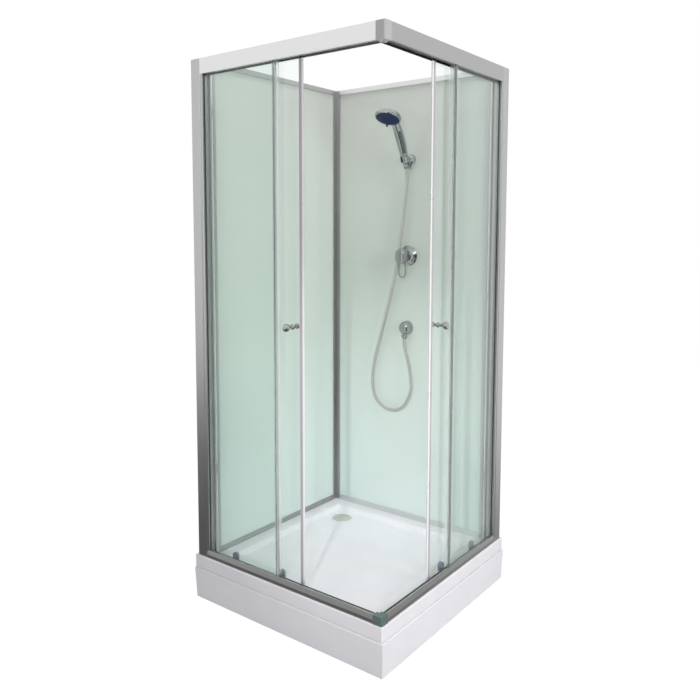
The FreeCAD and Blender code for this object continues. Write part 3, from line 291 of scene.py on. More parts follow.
tree.links.new(ring.outputs["Curve"], sweep.inputs["Profile Curve"])
radius = math_node(tree, "SUBTRACT", inputs.outputs["Radius"], drop)
tree.links.new(radius, sweep.inputs["Scale"])
soft = tree.nodes.new("GeometryNodeSetShadeSmooth")
tree.links.new(sweep.outputs["Mesh"], soft.inputs["Geometry"])
close_tree(tree, soft.outputs["Geometry"], inputs, outputs)
hose_mesh = run_tree(tree, hose_line, {
    "Radius": 0.0070, "Rib pitch": 0.0032, "Rib depth": 0.0008, "Finish": hose_metal,
})
bpy.data.objects.remove(hose_line)
hose = add_piece("ribbed_hose", hose_mesh)
print("hose faces:", len(hose_mesh.polygons))

# %% Hose facts
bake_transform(hose)
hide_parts("shower_hose")
print("hose replaces its plain tube")

# %% [markdown]
# ## White acrylic
# The tray and its skirt are vacuum-formed acrylic: almost white, with a soft gloss and
# the slight waviness of a formed sheet. A broad noise bends the reflections a little.

# %% White acrylic
acrylic, shader = finish("white_acrylic", (0.80, 0.79, 0.825), 0.36)
wave = noise_on(acrylic, (9, 9, 9), detail=2.0)
color_by(acrylic, shader, wave, (0.785, 0.775, 0.81), (0.815, 0.805, 0.84))
gloss_by(acrylic, shader, noise_on(acrylic, (40, 40, 40)), 0.32, 0.42)
dent(acrylic, shader, wave, 0.12, 0.004)
print("finish:", acrylic.name)

# %% [markdown]
# ## Satin aluminium
# The frame is extruded and anodised. Drawing through the die leaves fine lines
# along each bar, so the same noise is stretched along the bar's own direction,
# with a finish for each of the three directions and a darker one for the left sill.
# Their levels are painted light and shade: bars across are painted lighter, bars
# running deep darker, and the left sill darker than the other bars across, a
# painted shade standing for a dark reflection.

# %% Satin aluminium
def satin_aluminium(name, stretch, level):
    """Anodised aluminium with drawn lines along the axis of the smallest stretch."""
    material, shader = finish(name, (level, level, level), 0.34, 1.0)
    lines = noise_on(material, stretch, detail=4.0)
    color_by(material, shader, lines, (level * 0.96,) * 3, (level * 1.04,) * 3)
    gloss_by(material, shader, lines, 0.28, 0.42)
    dent(material, shader, lines, 0.08, 0.0005)
    return material


FINE, LONG = 900, 3
# Painted light and shade by direction: bars across at 0.78 are painted light, bars deep at
# 0.46 and the left sill at 0.52 are painted shade.
aluminium_upright = satin_aluminium("satin_aluminium_upright", (FINE, FINE, LONG), 0.51)
aluminium_across_painted_light = satin_aluminium("satin_aluminium_across", (LONG, FINE, FINE), 0.78)
aluminium_deep_painted_shade = satin_aluminium("satin_aluminium_deep", (FINE, LONG, FINE), 0.46)
aluminium_sill_painted_shade = satin_aluminium("satin_aluminium_low", (LONG, FINE, FINE), 0.52)
print("finishes: three directions of aluminium, one in two tones")

# %% [markdown]
# ## Coloured wall glass
# The back walls are glass painted on the back, a pale green-white. Light runs a
# little into the glass before it meets the paint, so the colour sits under a clear
# coat. Its colour drifts from a greener tone at the foot to a greyer one at the top:
# painted light at the foot and painted shade at the top.

# %% Wall glass
def split_axes(tree, kind):
    """X, Y and Z of a texture coordinate, such as Object or Normal."""
    place = tree.nodes.new("ShaderNodeTexCoord")
    split = tree.nodes.new("ShaderNodeSeparateXYZ")
    tree.links.new(place.outputs[kind], split.inputs["Vector"])
    return split.outputs


# Painted light and shade by height: lighter and greener at the foot, greyer painted shade at
# the top.
WALL_FOOT_PAINTED_LIGHT = (0.70, 0.795, 0.765)
WALL_MIDDLE = (0.68, 0.75, 0.69)
WALL_TOP_PAINTED_SHADE = (0.685, 0.715, 0.67)
WALL_DRIFT, PAINTED_SHADE_RAMP_PER_METRE = 0.25, 0.48
wall_glass, shader = finish("wall_glass", WALL_MIDDLE, 0.35)
tree = wall_glass.node_tree
cloud = noise_on(wall_glass, (2.2, 2.2, 1.1), detail=1.0)
drift = math_node(tree, "MULTIPLY", cloud, WALL_DRIFT)
height = math_node(tree, "ADD", drift, split_axes(tree, "Object")["Z"])
ramp = tree.nodes.new("ShaderNodeValToRGB")
stops = ramp.color_ramp.elements
stops[0].position, stops[0].color = 0.25, (*WALL_FOOT_PAINTED_LIGHT, 1.0)
stops[1].position, stops[1].color = 1.0, (*WALL_TOP_PAINTED_SHADE, 1.0)
stops.new(0.6).color = (*WALL_MIDDLE, 1.0)
tree.links.new(math_node(tree, "MULTIPLY", height, PAINTED_SHADE_RAMP_PER_METRE), ramp.inputs["Fac"])
tree.links.new(ramp.outputs["Color"], shader.inputs["Base Color"])
shader.inputs["Coat Weight"].default_value = 1.0
shader.inputs["Coat Roughness"].default_value = 0.03
shader.inputs["Coat IOR"].default_value = 1.5
print("finish:", wall_glass.name)

# %% [markdown]
# ## Clear glass
# Safety glass is nearly clear across its faces and green along its edges, where
# light travels a long way inside. The direction of each face tells edges from
# faces. The fixed panes are a little darker and greener than the doors: painted
# shade on what is the same glass. Shadow rays pass straight through, so the cabin
# is lit from all sides.

# %% Clear glass
def mix_shaders(tree, amount, first, second):
    """Shader between two others, by an amount from 0 to 1."""
    mix = tree.nodes.new("ShaderNodeMixShader")
    for socket, value in zip(mix.inputs, (amount, first, second)):
        tree.links.new(value, socket)
    return mix.outputs["Shader"]


def show_surface(tree, surface):
    """Make a shader the material's surface."""
    tree.links.new(surface, tree.nodes["Material Output"].inputs["Surface"])


def let_light_through(material, color):
    """Shadow rays pass a clear material instead of being stopped by it."""
    tree = material.node_tree
    solid = tree.nodes["Principled BSDF"].outputs["BSDF"]
    through = tree.nodes.new("ShaderNodeBsdfTransparent")
    through.inputs["Color"].default_value = (*color, 1.0)
    shadow = tree.nodes.new("ShaderNodeLightPath").outputs["Is Shadow Ray"]
    show_surface(tree, mix_shaders(tree, shadow, solid, through.outputs["BSDF"]))


def clear_glass(name, facing, color):
    """Clear pane whose broad faces look along the named axis."""
    material, shader = finish(name, color, 0.0)
    shader.inputs["Transmission Weight"].default_value = 1.0
    shader.inputs["IOR"].default_value = 1.45
    tree = material.node_tree
    flat = math_node(tree, "ABSOLUTE", split_axes(tree, "Normal")[facing], 0.0)
    tint = tones(material, flat, EDGE_GREEN, color, 0.4, 0.6)
    tree.links.new(tint, shader.inputs["Base Color"])
    let_light_through(material, (0.975, 0.994, 0.987))
    return material


EDGE_GREEN = (0.20, 0.36, 0.32)
# The fixed tint is painted shade: darker and greener than the door tint on the same glass.
PANE_TINTS_FIXED_PAINTED_SHADE = {"fixed": (0.83, 0.89, 0.865), "door": (0.93, 0.97, 0.955)}
panes = {}
for side, facing in (("left", "Y"), ("right", "X")):
    for kind, color in PANE_TINTS_FIXED_PAINTED_SHADE.items():
        panes[f"{side}_{kind}_glass"] = clear_glass(f"clear_{side}_{kind}", facing, color)
print("finishes:", list(panes))

# %% [markdown]
# ## Seals, rubber and plastics
# The strips on the fixed panes are clear plastic, with a dark line painted where
# they fold round the glass edge, a painted shade, and those on the doors, which
# hide a magnet, are milky. The roller blocks, corner blocks, spray face and drain
# cap are moulded plastics that differ in colour and in how fine their surface is,
# so one helper makes them all.

# %% Plastics
def moulded(name, color, roughness, grain=220.0, relief=0.03):
    """Moulded plastic with a faint grain in its tone, gloss and surface."""
    material, shader = finish(name, color, roughness)
    speck = noise_on(material, (grain, grain, grain))
    dark = tuple(value * 0.97 for value in color)
    light = tuple(min(1.0, value * 1.03) for value in color)
    color_by(material, shader, speck, dark, light)
    gloss_by(material, shader, speck, roughness * 0.85, roughness * 1.15)
    dent(material, shader, speck, relief, 0.0004)
    return material


SEAL_CLEAR, SEAL_FOLD_PAINTED_SHADE = (0.92, 0.94, 0.935), (0.16, 0.20, 0.19)
PAINTED_FOLD_REACH = 0.0015
clear_seal = moulded("clear_seal", SEAL_CLEAR, 0.12, grain=12.0, relief=0.0)
tree = clear_seal.node_tree
shader = tree.nodes["Principled BSDF"]
shader.inputs["Transmission Weight"].default_value = 0.8
shader.inputs["IOR"].default_value = 1.2
axes = split_axes(tree, "Object")
# Painted shade: the seal is painted dark within a small reach of each pane edge, along the
# fold.
near = []
pane_edges = {"X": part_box("left_fixed_glass")[1].x, "Y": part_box("right_fixed_glass")[0].y}
for axis, edge in pane_edges.items():
    past = math_node(tree, "SUBTRACT", axes[axis], edge)
    away = math_node(tree, "ABSOLUTE", past, 0.0)
    near.append(math_node(tree, "LESS_THAN", away, PAINTED_FOLD_REACH))
painted_fold_shade = math_node(tree, "MAXIMUM", *near)
color_by(clear_seal, shader, painted_fold_shade, SEAL_CLEAR, SEAL_FOLD_PAINTED_SHADE)
let_light_through(clear_seal, (0.35, 0.37, 0.37))


def milky_seal(name, axis, test, turn):
    """Door seal: a thin clear grip on the glass, and a white hollow round its magnet."""
    material = moulded(name, (0.86, 0.84, 0.86), 0.3, grain=12.0, relief=0.0)
    tree = material.node_tree
    past = math_node(tree, test, split_axes(tree, "Object")[axis], turn)
    shader = tree.nodes["Principled BSDF"]
    color_by(material, shader, past, (0.45, 0.42, 0.455), (0.90, 0.88, 0.90))
    return material


HOLLOW_WIDTH = 0.009
left_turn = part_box("left_magnet_seal")[1].x - HOLLOW_WIDTH
right_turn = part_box("right_magnet_seal")[0].y + HOLLOW_WIDTH
left_seal = milky_seal("milky_seal_left", "X", "GREATER_THAN", left_turn)
right_seal = milky_seal("milky_seal_right", "Y", "LESS_THAN", right_turn)
rubber = moulded("dark_rubber", (0.05, 0.055, 0.055), 0.6)
roller = moulded("roller_plastic", (0.23, 0.27, 0.33), 0.3)
connector = moulded("connector_plastic", (0.45, 0.45, 0.455), 0.35)
dark_connector = moulded("dark_connector_plastic", (0.11, 0.155, 0.145), 0.3)
navy = moulded("navy_plastic", (0.010, 0.022, 0.11), 0.4)
grip = moulded("grip_rubber", (0.10, 0.12, 0.115), 0.4)
drain_grey = moulded("drain_grey", (0.52, 0.52, 0.47), 0.3)
black_plastic = moulded("black_plastic", (0.03, 0.03, 0.032), 0.5)
print("plastics: clear and milky seals, rubber, blocks, spray face and drain cap")

# %% [markdown]
# ## Hidden metals
# The support frame is painted steel tube, the studs and nuts are zinc plated, and
# the valve behind the wall is cast brass. They show only from the back or below,
# but they are finished like the rest.

# %% Hidden metals
def plain_metal(name, color, roughness, grain):
    """Bare metal with a cast or plated grain."""
    material, shader = finish(name, color, roughness, 1.0)
    speck = noise_on(material, (grain, grain, grain), detail=5.0)
    dark = tuple(value * 0.88 for value in color)
    color_by(material, shader, speck, dark, color)
    gloss_by(material, shader, speck, roughness * 0.8, roughness * 1.25)
    dent(material, shader, speck, 0.1, 0.0004)
    return material


zinc = plain_metal("zinc_steel", (0.55, 0.56, 0.58), 0.3, 300.0)
brass = plain_metal("valve_brass", (0.62, 0.46, 0.22), 0.35, 180.0)
paint = moulded("steel_tube_paint", (0.14, 0.145, 0.15), 0.4, 120.0)
print("hidden metals: 3")

# %% [markdown]
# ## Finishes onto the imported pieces
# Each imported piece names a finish. Most map one to one. Aluminium bars, clear panes
# and door seals also need the direction that they run in or face.

# %% Assign finishes
finishes = {
    "white_acrylic": acrylic, "steel_tube": paint, "black_plastic": black_plastic,
    "zinc_steel": zinc, "drain_grey": drain_grey, "dark_rubber": rubber,
    "connector_plastic": connector, "dark_connector_plastic": dark_connector,
    "wall_glass": wall_glass, "clear_seal": clear_seal, "roller_plastic": roller,
    "chrome": chrome, "valve_brass": brass, "navy_plastic": navy,
}
runs_across = {"left_top_rail", "right_wall_top_rail", "right_wall_bottom_rail"}
runs_deep = {
    "right_top_rail", "right_bottom_rail", "left_wall_top_rail", "left_wall_bottom_rail",
}


def finish_of(node, slot):
    """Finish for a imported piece, from its slot and the way that it runs."""
    if slot == "clear_glass":
        return panes[node]
    if node.endswith("magnet_seal"):
        return left_seal if node.startswith("left") else right_seal
    # The left sill's aluminium is painted darker: painted shade standing for a dark
    # reflection.
    if node == "left_bottom_rail":
        return aluminium_sill_painted_shade
    if slot == "satin_aluminium":
        if node in runs_across:
            return aluminium_across_painted_light
        return aluminium_deep_painted_shade if node in runs_deep else aluminium_upright
    return finishes[slot]


slot_of = {part["node"]: part["material_slot"] for part in frame["record"]["subparts"]}
for node, piece in nodes.items():
    piece.data.materials.clear()
    piece.data.materials.append(finish_of(node, slot_of[node]))
print("finished:", len(slot_of), "packed pieces")

# %% [markdown]
# ## Round pieces without flat facets
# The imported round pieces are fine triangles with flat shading. Chrome shows every
# facet, so round pieces are replaced by copies whose points are merged and whose
# faces are smooth up to a sharp edge.

# %% Smooth copies
MERGE_DISTANCE = 0.000005
body_of = {}
for body, members in frame["record"]["behaviour"]["bodies"].items():
    body_of.update(dict.fromkeys(members, body))


def merged_copy(node):
    """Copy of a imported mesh, and a bmesh of it with doubled points merged."""
    mesh = nodes[node].data.copy()
    work = bmesh.new()
    work.from_mesh(mesh)
    bmesh.ops.remove_doubles(work, verts=work.verts, dist=MERGE_DISTANCE)
    return mesh, work


def shade(mesh, work, angle):
    """Put a bmesh into a mesh and shade it smooth up to a sharp angle in degrees."""
    work.to_mesh(mesh)
    work.free()
    mesh.shade_smooth()
    mesh.set_sharp_from_angle(angle=math.radians(angle))


def smooth_copy(node):
    """Merged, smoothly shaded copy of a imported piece, in its place."""
    mesh, work = merged_copy(node)
    shade(mesh, work, angle=32.0)
    piece = add_piece(node + "_smooth", mesh)
    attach(piece, body_of[node])
    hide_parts(node)


round_nodes = [
    "mixer_plate", "mixer_cartridge", "shower_bracket", "hose_top_nut", "hose_bottom_nut",
    "drain_flange", "drain_cap", "drain_trap", "spray_face", "levelling_feet", "mixer_valve",
    "left_bottom_roller_blocks", "right_bottom_roller_blocks", "left_top_roller_studs",
    "right_top_roller_studs",
]
round_nodes += [node for node in nodes if node.endswith("_wheel")]
for node in round_nodes:
    smooth_copy(node)
print("smooth copies:", len(round_nodes))

# %% [markdown]
# ## Skirt with soft edges
# A formed sheet never has a sharp edge. The skirt is a folded apron whose ledge and
# top catch a line of light, so its copy gets narrow rounded upper edges. Rounding
# only the edges between an upward and an outward face leaves the rest as it was.

# %% Skirt
mesh, work = merged_copy("tray_skirt")
bmesh.ops.dissolve_limit(
    work, angle_limit=math.radians(1.0), verts=work.verts, edges=work.edges,
)
UPWARD, OUTWARD = 0.9, 0.3
upper = []
for edge in work.edges:
    if len(edge.link_faces) == 2 and edge.is_convex:
        slopes = sorted(face.normal.z for face in edge.link_faces)
        if slopes[1] > UPWARD and abs(slopes[0]) < OUTWARD:
            upper.append(edge)
bmesh.ops.bevel(
    work, geom=upper, offset=0.003, segments=3, profile=0.5, affect="EDGES",
    clamp_overlap=True,
)
shade(mesh, work, angle=40.0)
skirt = add_piece("soft_skirt", mesh)
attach(skirt, body_of["tray_skirt"])
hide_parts("tray_skirt")
print("skirt edges rounded:", len(upper))

# %% [markdown]
# ## Turned pieces
# Knobs and domes are turned on a lathe. A half section swept round an axis gives
# them, and a smooth spline through a few section points gives the soft curves that
# a real tool leaves, without typing every point.

# %% Lathe helper
ON_AXIS = 1e-7


def smooth_section(points, steps=6):
    """Catmull-Rom curve through (radius, height) points."""
    result = []
    for index in range(len(points) - 1):
        a = Vector(points[max(index - 1, 0)])
        b = Vector(points[index])
        c = Vector(points[index + 1])
        d = Vector(points[min(index + 2, len(points) - 1)])
        for step in range(steps):
            t = step / steps
            result.append(0.5 * (2 * b + (c - a) * t + (2 * a - 5 * b + 4 * c - d) * t ** 2
                                 + (3 * b - a - 3 * c + d) * t ** 3))
    result.append(Vector(points[-1]))
    return [(max(point.x, 0.0), point.y) for point in result]


def lathe(work, section, place, axis, around=64):
    """Add a closed turned shape to a bmesh: its section starts and ends on the axis."""
    turn = Vector(axis).to_track_quat("Z", "Y").to_matrix().to_4x4()
    turn = Matrix.Translation(place) @ turn
    rings = []
    for radius, height in section:
        if radius < ON_AXIS:
            rings.append([work.verts.new(turn @ Vector((0, 0, height)))])
            continue
        ring = []
        for step in range(around):
            angle = 2 * math.pi * step / around
            x, y = radius * math.cos(angle), radius * math.sin(angle)
            ring.append(work.verts.new(turn @ Vector((x, y, height))))
        rings.append(ring)
    for low, high in zip(rings, rings[1:]):
        for step in range(around):
            corners = [low[step % len(low)], low[(step + 1) % len(low)]]
            corners += [high[(step + 1) % len(high)], high[step % len(high)]]
            unique = list(dict.fromkeys(corners))
            if len(unique) > 2:
                work.faces.new(unique)


def finished_mesh(name, work, angle=35.0):
    """Turn a bmesh into a smoothly shaded mesh with outward faces."""
    bmesh.ops.recalc_face_normals(work, faces=work.faces)
    mesh = bpy.data.meshes.new(name)
    shade(mesh, work, angle)
    return mesh


print("lathe ready")

# %% [markdown]
# ## Door knobs
# Each door has a mushroom knob outside and a small one inside, screwed together
# through the glass. The outer head is nearly a ball, on a waist and a round flange.

# %% Door knobs
def knob_pair(side, outward):
    """Outer and inner knob of one door, along the door's outward direction."""
    low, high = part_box(side + "_knob")
    middle = (low + high) / 2
    out = Vector(outward)
    glass_low, glass_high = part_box(side + "_door_glass")
    face = max(out.dot(glass_low), out.dot(glass_high))
    back = min(out.dot(glass_low), out.dot(glass_high))
    outside = middle - out * out.dot(middle) + out * face
    inside = middle - out * out.dot(middle) + out * back
    outer = [(0.0055, 0.0), (0.0055, 0.0038)]
    outer += smooth_section([
        (0.0075, 0.0042), (0.0098, 0.0056), (0.0099, 0.0078), (0.0078, 0.0094),
        (0.0062, 0.0125), (0.0058, 0.018), (0.0064, 0.0235), (0.0090, 0.0280),
        (0.0124, 0.0325), (0.0142, 0.0375), (0.0141, 0.0420), (0.0118, 0.0463),
        (0.0070, 0.0485), (0.0, 0.0490),
    ])
    inner = [(0.0055, 0.0), (0.0055, 0.003)]
    inner += smooth_section([
        (0.0056, 0.0062), (0.0078, 0.0095), (0.0104, 0.0128), (0.0108, 0.0157),
        (0.0088, 0.0186), (0.0045, 0.0198), (0.0, 0.0200),
    ])
    work = bmesh.new()
    lathe(work, [(0.0, 0.0)] + outer, outside, out)
    lathe(work, [(0.0, 0.0)] + inner, inside, -out)
    piece = add_piece(side + "_knob_pair", finished_mesh(side + "_knob_pair", work), chrome)
    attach(piece, side + "_door")
    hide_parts(side + "_knob")
    return piece


for side, outward in (("left", (0, -1, 0)), ("right", (1, 0, 0))):
    piece = knob_pair(side, outward)
    print(piece.name, len(piece.data.polygons), "faces")

# %% [markdown]
# ## Wall outlet
# The hose ends at a domed elbow on the wall. The dome is turned about the wall's
# normal and the spout about a plumb line, and the threaded tail runs back through
# the wall to its nut.

# %% Wall outlet
wall_y = 0.388
outlet_place = Vector((0.006, wall_y, 1.028698))
spout_place = outlet_place + Vector((0, -0.022, 0))
dome = [(0.0, 0.0), (0.0305, 0.0), (0.0305, 0.003)]
dome += smooth_section([
    (0.0303, 0.0050), (0.0292, 0.0130), (0.0268, 0.0215), (0.0222, 0.0290),
    (0.0145, 0.0335), (0.0065, 0.0348), (0.0, 0.0350),
])
spout = [(0.0, 0.0), (0.0090, 0.0), (0.0090, 0.0315), (0.0, 0.0315)]
tail = [
    (0.0, 0.0), (0.01048, 0.0), (0.01048, 0.034), (0.0075, 0.034), (0.0075, 0.004),
    (0.0, 0.004),
]
work = bmesh.new()
lathe(work, dome, outlet_place, (0, -1, 0), around=72)
lathe(work, spout, spout_place, (0, 0, -1), around=48)
lathe(work, tail, outlet_place, (0, 1, 0), around=48)
outlet = add_piece("outlet_elbow", finished_mesh("outlet_elbow", work), chrome)
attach(outlet, "cabin")
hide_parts("wall_outlet")

# %% [markdown]
# ## Mixer handle
# An oval cap covers the cartridge, and a slim loop hangs from it as the lever. The
# cap is cast, so its front edge is well rounded: oval outlines are stacked and drawn
# in towards the front. The loop is a bar swept along a long ring.

# %% Mixer handle
mixer_place = Vector((0.010, wall_y, 1.34387))
CAP_RISE = 0.008
BAR_SQUARENESS = 0.7


def oval_path(half, rise, corners=20):
    """Closed upright path with round ends and straight sides."""
    path = []
    for step in range(corners + 1):
        angle = math.pi * step / corners
        path.append(Vector((half * math.cos(angle), 0, rise + half * math.sin(angle))))
    for step in range(corners + 1):
        angle = math.pi + math.pi * step / corners
        path.append(Vector((half * math.cos(angle), 0, -rise + half * math.sin(angle))))
    return path


def skin(work, rings, closed=False):
    """Join neighbouring rings of points with faces; ends are capped unless closed."""
    pairs = zip(rings, rings[1:] + rings[:1]) if closed else zip(rings, rings[1:])
    for first, second in pairs:
        for step in range(len(first)):
            nearby = (step + 1) % len(first)
            work.faces.new([first[step], first[nearby], second[nearby], second[step]])
    if not closed:
        work.faces.new(rings[0])
        work.faces.new(rings[-1])


work = bmesh.new()
cap_section = [(0.0225, 0.0410), (0.0236, 0.0418), (0.0240, 0.0435)]
cap_section += smooth_section([
    (0.0240, 0.0655), (0.0237, 0.0678), (0.0226, 0.0703), (0.0204, 0.0720), (0.0170, 0.0730),
])
cap_rings = []
for half, out in cap_section:
    middle = mixer_place + Vector((0, -out, 0))
    outline = oval_path(half, CAP_RISE)
    cap_rings.append([work.verts.new(middle + place) for place in outline])
skin(work, cap_rings)


def sweep_ring(work, path, normal, width, depth, around=20):
    """Sweep a rounded bar along a closed flat path."""
    rings = []
    for index, place in enumerate(path):
        ahead = (path[(index + 1) % len(path)] - path[index - 1]).normalized()
        side = ahead.cross(normal).normalized()
        ring = []
        for step in range(around):
            angle = 2 * math.pi * step / around
            x, y = math.cos(angle), math.sin(angle)
            across = math.copysign(abs(x) ** BAR_SQUARENESS, x) * width
            through = math.copysign(abs(y) ** BAR_SQUARENESS, y) * depth
            ring.append(work.verts.new(place + side * across + normal * through))
        rings.append(ring)
    skin(work, rings, closed=True)


lever_middle = mixer_place + Vector((0, -0.0515, -0.0475))
lever = [lever_middle + place for place in oval_path(half=0.016, rise=0.0275)]
sweep_ring(work, lever, Vector((0, -1, 0)), width=0.003, depth=0.0035)
blade_low = mixer_place + Vector((-0.0038, -0.060, -0.005))
blade_high = mixer_place + Vector((0.0038, -0.0275, 0.005))
blade = bmesh.ops.create_cube(work, size=1.0)["verts"]
bmesh.ops.scale(work, vec=blade_high - blade_low, verts=blade)
bmesh.ops.translate(work, vec=(blade_low + blade_high) / 2, verts=blade)
handle = add_piece("mixer_cap_and_loop", finished_mesh("mixer_cap_and_loop", work), chrome)
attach(handle, "mixer_lever")
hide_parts("mixer_handle")
print("mixer handle faces:", len(handle.data.polygons))

# %% [markdown]
# ## Hand shower
# The bent handle swells in the hand and runs into the back of a round head. Rings
# of points along the bent centre line carry the changing radius, the last few turn
# over the head's back, and the head is turned about its own axis with a recess for
# the spray face.

# %% Hand shower
ring_centre = Vector((0.019, 0.336, 1.7556))
lean = math.radians(18.0)
bend = math.radians(20.0)
handle_length = 0.1733
bend_radius = handle_length / bend
bend_centre = ring_centre - Vector((0, math.cos(lean), math.sin(lean))) * bend_radius
ring_axis = Vector((0, -math.sin(lean), math.cos(lean)))
TURN_LENGTH, TURN_RISE = 0.009, 0.003
head_lean = math.radians(22.0)
head_axis = Vector((0, math.sin(head_lean), math.cos(head_lean)))
head_back = Vector((0, math.cos(head_lean), -math.sin(head_lean)))


def handle_line(distance):
    """Place and direction on the handle's centre line, from the middle of its ring."""
    if distance < 0:
        return ring_centre + ring_axis * distance, ring_axis
    angle = lean + bend * min(distance / handle_length, 1.0)
    spoke = Vector((0, math.cos(angle), math.sin(angle)))
    ahead = Vector((0, -math.sin(angle), math.cos(angle)))
    place = bend_centre + spoke * bend_radius
    if distance <= handle_length:
        return place, ahead
    past = distance - handle_length
    turned = 1 - math.exp(-past / TURN_LENGTH)
    place += -head_back * past + head_axis * TURN_RISE * turned
    return place, ahead.lerp(-head_back, turned).normalized()


handle_section = [(0.0105, -0.017), (0.0107, -0.0165), (0.0130, 0.013)]
handle_section += smooth_section([
    (0.0138, 0.0155), (0.0156, 0.020), (0.0174, 0.045), (0.0186, 0.085), (0.0186, 0.115),
    (0.0176, 0.145), (0.0162, 0.1733), (0.0145, 0.181), (0.0108, 0.193), (0.0060, 0.207),
], steps=5)


def sweep_handle(work, section, around=48):
    """Sweep rings of (radius, distance) points along the handle's centre line."""
    rings = []
    for radius, distance in section:
        place, ahead = handle_line(distance)
        side = Vector((1, 0, 0))
        front = ahead.cross(side)
        ring = []
        for step in range(around):
            angle = 2 * math.pi * step / around
            spoke = side * radius * math.cos(angle) + front * radius * math.sin(angle)
            ring.append(work.verts.new(place + spoke))
        rings.append(ring)
    skin(work, rings)


HEAD_REACH, HEAD_DROP = 0.046, 0.020
handle_end = handle_line(handle_length)[0]
face_centre = handle_end - head_back * HEAD_REACH - head_axis * HEAD_DROP
head = [(0.0, 0.009), (0.0493, 0.009), (0.0493, 0.0)]
head += smooth_section([
    (0.0515, -0.0003), (0.0536, 0.0022), (0.0549, 0.0085), (0.0540, 0.0140), (0.0508, 0.0200),
    (0.0440, 0.0255), (0.0330, 0.0297), (0.0180, 0.0322), (0.0, 0.0330),
])
work = bmesh.new()
sweep_handle(work, handle_section)
lathe(work, head, face_centre, head_axis, around=96)
hand_shower = add_piece("hand_shower_body", finished_mesh("hand_shower_body", work), chrome)
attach(hand_shower, "hand_shower")
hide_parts("hand_shower")
print("hand shower faces:", len(hand_shower.data.polygons))
print("face centre:", tuple(round(value, 4) for value in face_centre))

# %% [markdown]
# ## Grip strips
# A dark soft strip is let into each side of the handle's front. A long patch with
# round ends is laid on the handle's surface, a little proud, and given a thickness.

# %% Grip strips
END_ROUNDING = 0.007
END_WIDTH = 0.02
PROUD = 0.0001


def handle_radius(distance):
    """Radius of the swept handle at a distance, between its section points."""
    for (r0, d0), (r1, d1) in zip(handle_section, handle_section[1:]):
        if d0 <= distance <= d1:
            return r0 + (r1 - r0) * (distance - d0) / (d1 - d0)
    return handle_section[-1][0]


def grip_patch(work, start, end, middle, half_angle, along=40, across=8):
    """Patch on the handle between two distances, round a middle angle from its front."""
    grid = []
    for step in range(along + 1):
        distance = start + (end - start) * step / along
        inset = max(0.0, 1 - min(distance - start, end - distance) / END_ROUNDING)
        width = half_angle * math.sqrt(max(0.0, 1 - inset ** 2)) + END_WIDTH
        place, ahead = handle_line(distance)
        front = ahead.cross(Vector((1, 0, 0)))
        if front.y > 0:
            front = -front
        radius = handle_radius(distance) + PROUD
        row = []
        for column in range(across + 1):
            angle = middle + width * (2 * column / across - 1)
            spoke = Vector((1, 0, 0)) * math.sin(angle) + front * math.cos(angle)
            row.append(work.verts.new(place + spoke * radius))
        grid.append(row)
    for first, second in zip(grid, grid[1:]):
        for column in range(across):
            beside = column + 1
            work.faces.new([first[column], second[column], second[beside], first[beside]])


work = bmesh.new()
for middle in (-0.9, 0.9):
    grip_patch(work, start=0.024, end=0.128, middle=middle, half_angle=0.3)
bmesh.ops.recalc_face_normals(work, faces=work.faces)
bmesh.ops.solidify(work, geom=work.faces[:], thickness=-0.0006)
strip = add_piece("grip_strips", finished_mesh("grip_strips", work, angle=50.0), grip)
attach(strip, "hand_shower")
print("grip strip faces:", len(strip.data.polygons))

# %% [markdown]
# ## Spray nozzles
# Soft nozzles stand in rings on the spray face. They repeat by a rule, so Geometry
# Nodes place one small nozzle on the points of four circles.

# %% Spray nozzles
tree, inputs, outputs = node_tree("nozzle_rings", [
    ("Outer radius", "NodeSocketFloat"), ("Ring step", "NodeSocketFloat"),
    ("Outer count", "NodeSocketInt"), ("Count step", "NodeSocketInt"),
    ("Nozzle radius", "NodeSocketFloat"), ("Nozzle height", "NodeSocketFloat"),
    ("Finish", "NodeSocketMaterial"),
])
nozzle = tree.nodes.new("GeometryNodeMeshCone")
nozzle.inputs["Vertices"].default_value = 10
tree.links.new(inputs.outputs["Nozzle height"], nozzle.inputs["Depth"])
tree.links.new(inputs.outputs["Nozzle radius"], nozzle.inputs["Radius Bottom"])
tip = math_node(tree, "MULTIPLY", inputs.outputs["Nozzle radius"], 0.6)
tree.links.new(tip, nozzle.inputs["Radius Top"])
join = tree.nodes.new("GeometryNodeJoinGeometry")
for ring_number in range(4):
    circle = tree.nodes.new("GeometryNodeMeshCircle")
    for outer, step, target in (
        ("Outer radius", "Ring step", "Radius"), ("Outer count", "Count step", "Vertices"),
    ):
        less = math_node(tree, "MULTIPLY", inputs.outputs[step], float(ring_number))
        size = math_node(tree, "SUBTRACT", inputs.outputs[outer], less)
        tree.links.new(size, circle.inputs[target])
    tree.links.new(circle.outputs["Mesh"], join.inputs["Geometry"])
scatter = tree.nodes.new("GeometryNodeInstanceOnPoints")
tree.links.new(join.outputs["Geometry"], scatter.inputs["Points"])
tree.links.new(nozzle.outputs["Mesh"], scatter.inputs["Instance"])
close_tree(tree, scatter.outputs["Instances"], inputs, outputs)
NOZZLE_HEIGHT = 0.0016
carrier = add_piece("nozzle_carrier", bpy.data.meshes.new("nozzle_carrier"))
nozzle_mesh = run_tree(tree, carrier, {
    "Outer radius": 0.0425, "Ring step": 0.0085, "Outer count": 36, "Count step": 8,
    "Nozzle radius": 0.0013, "Nozzle height": NOZZLE_HEIGHT, "Finish": rubber,
})
bpy.data.objects.remove(carrier)
turn = (-head_axis).to_track_quat("Z", "Y").to_matrix().to_4x4()
nozzle_mesh.transform(Matrix.Translation(face_centre - head_axis * NOZZLE_HEIGHT) @ turn)
nozzles = add_piece("spray_nozzles", nozzle_mesh)
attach(nozzles, "spray_face")
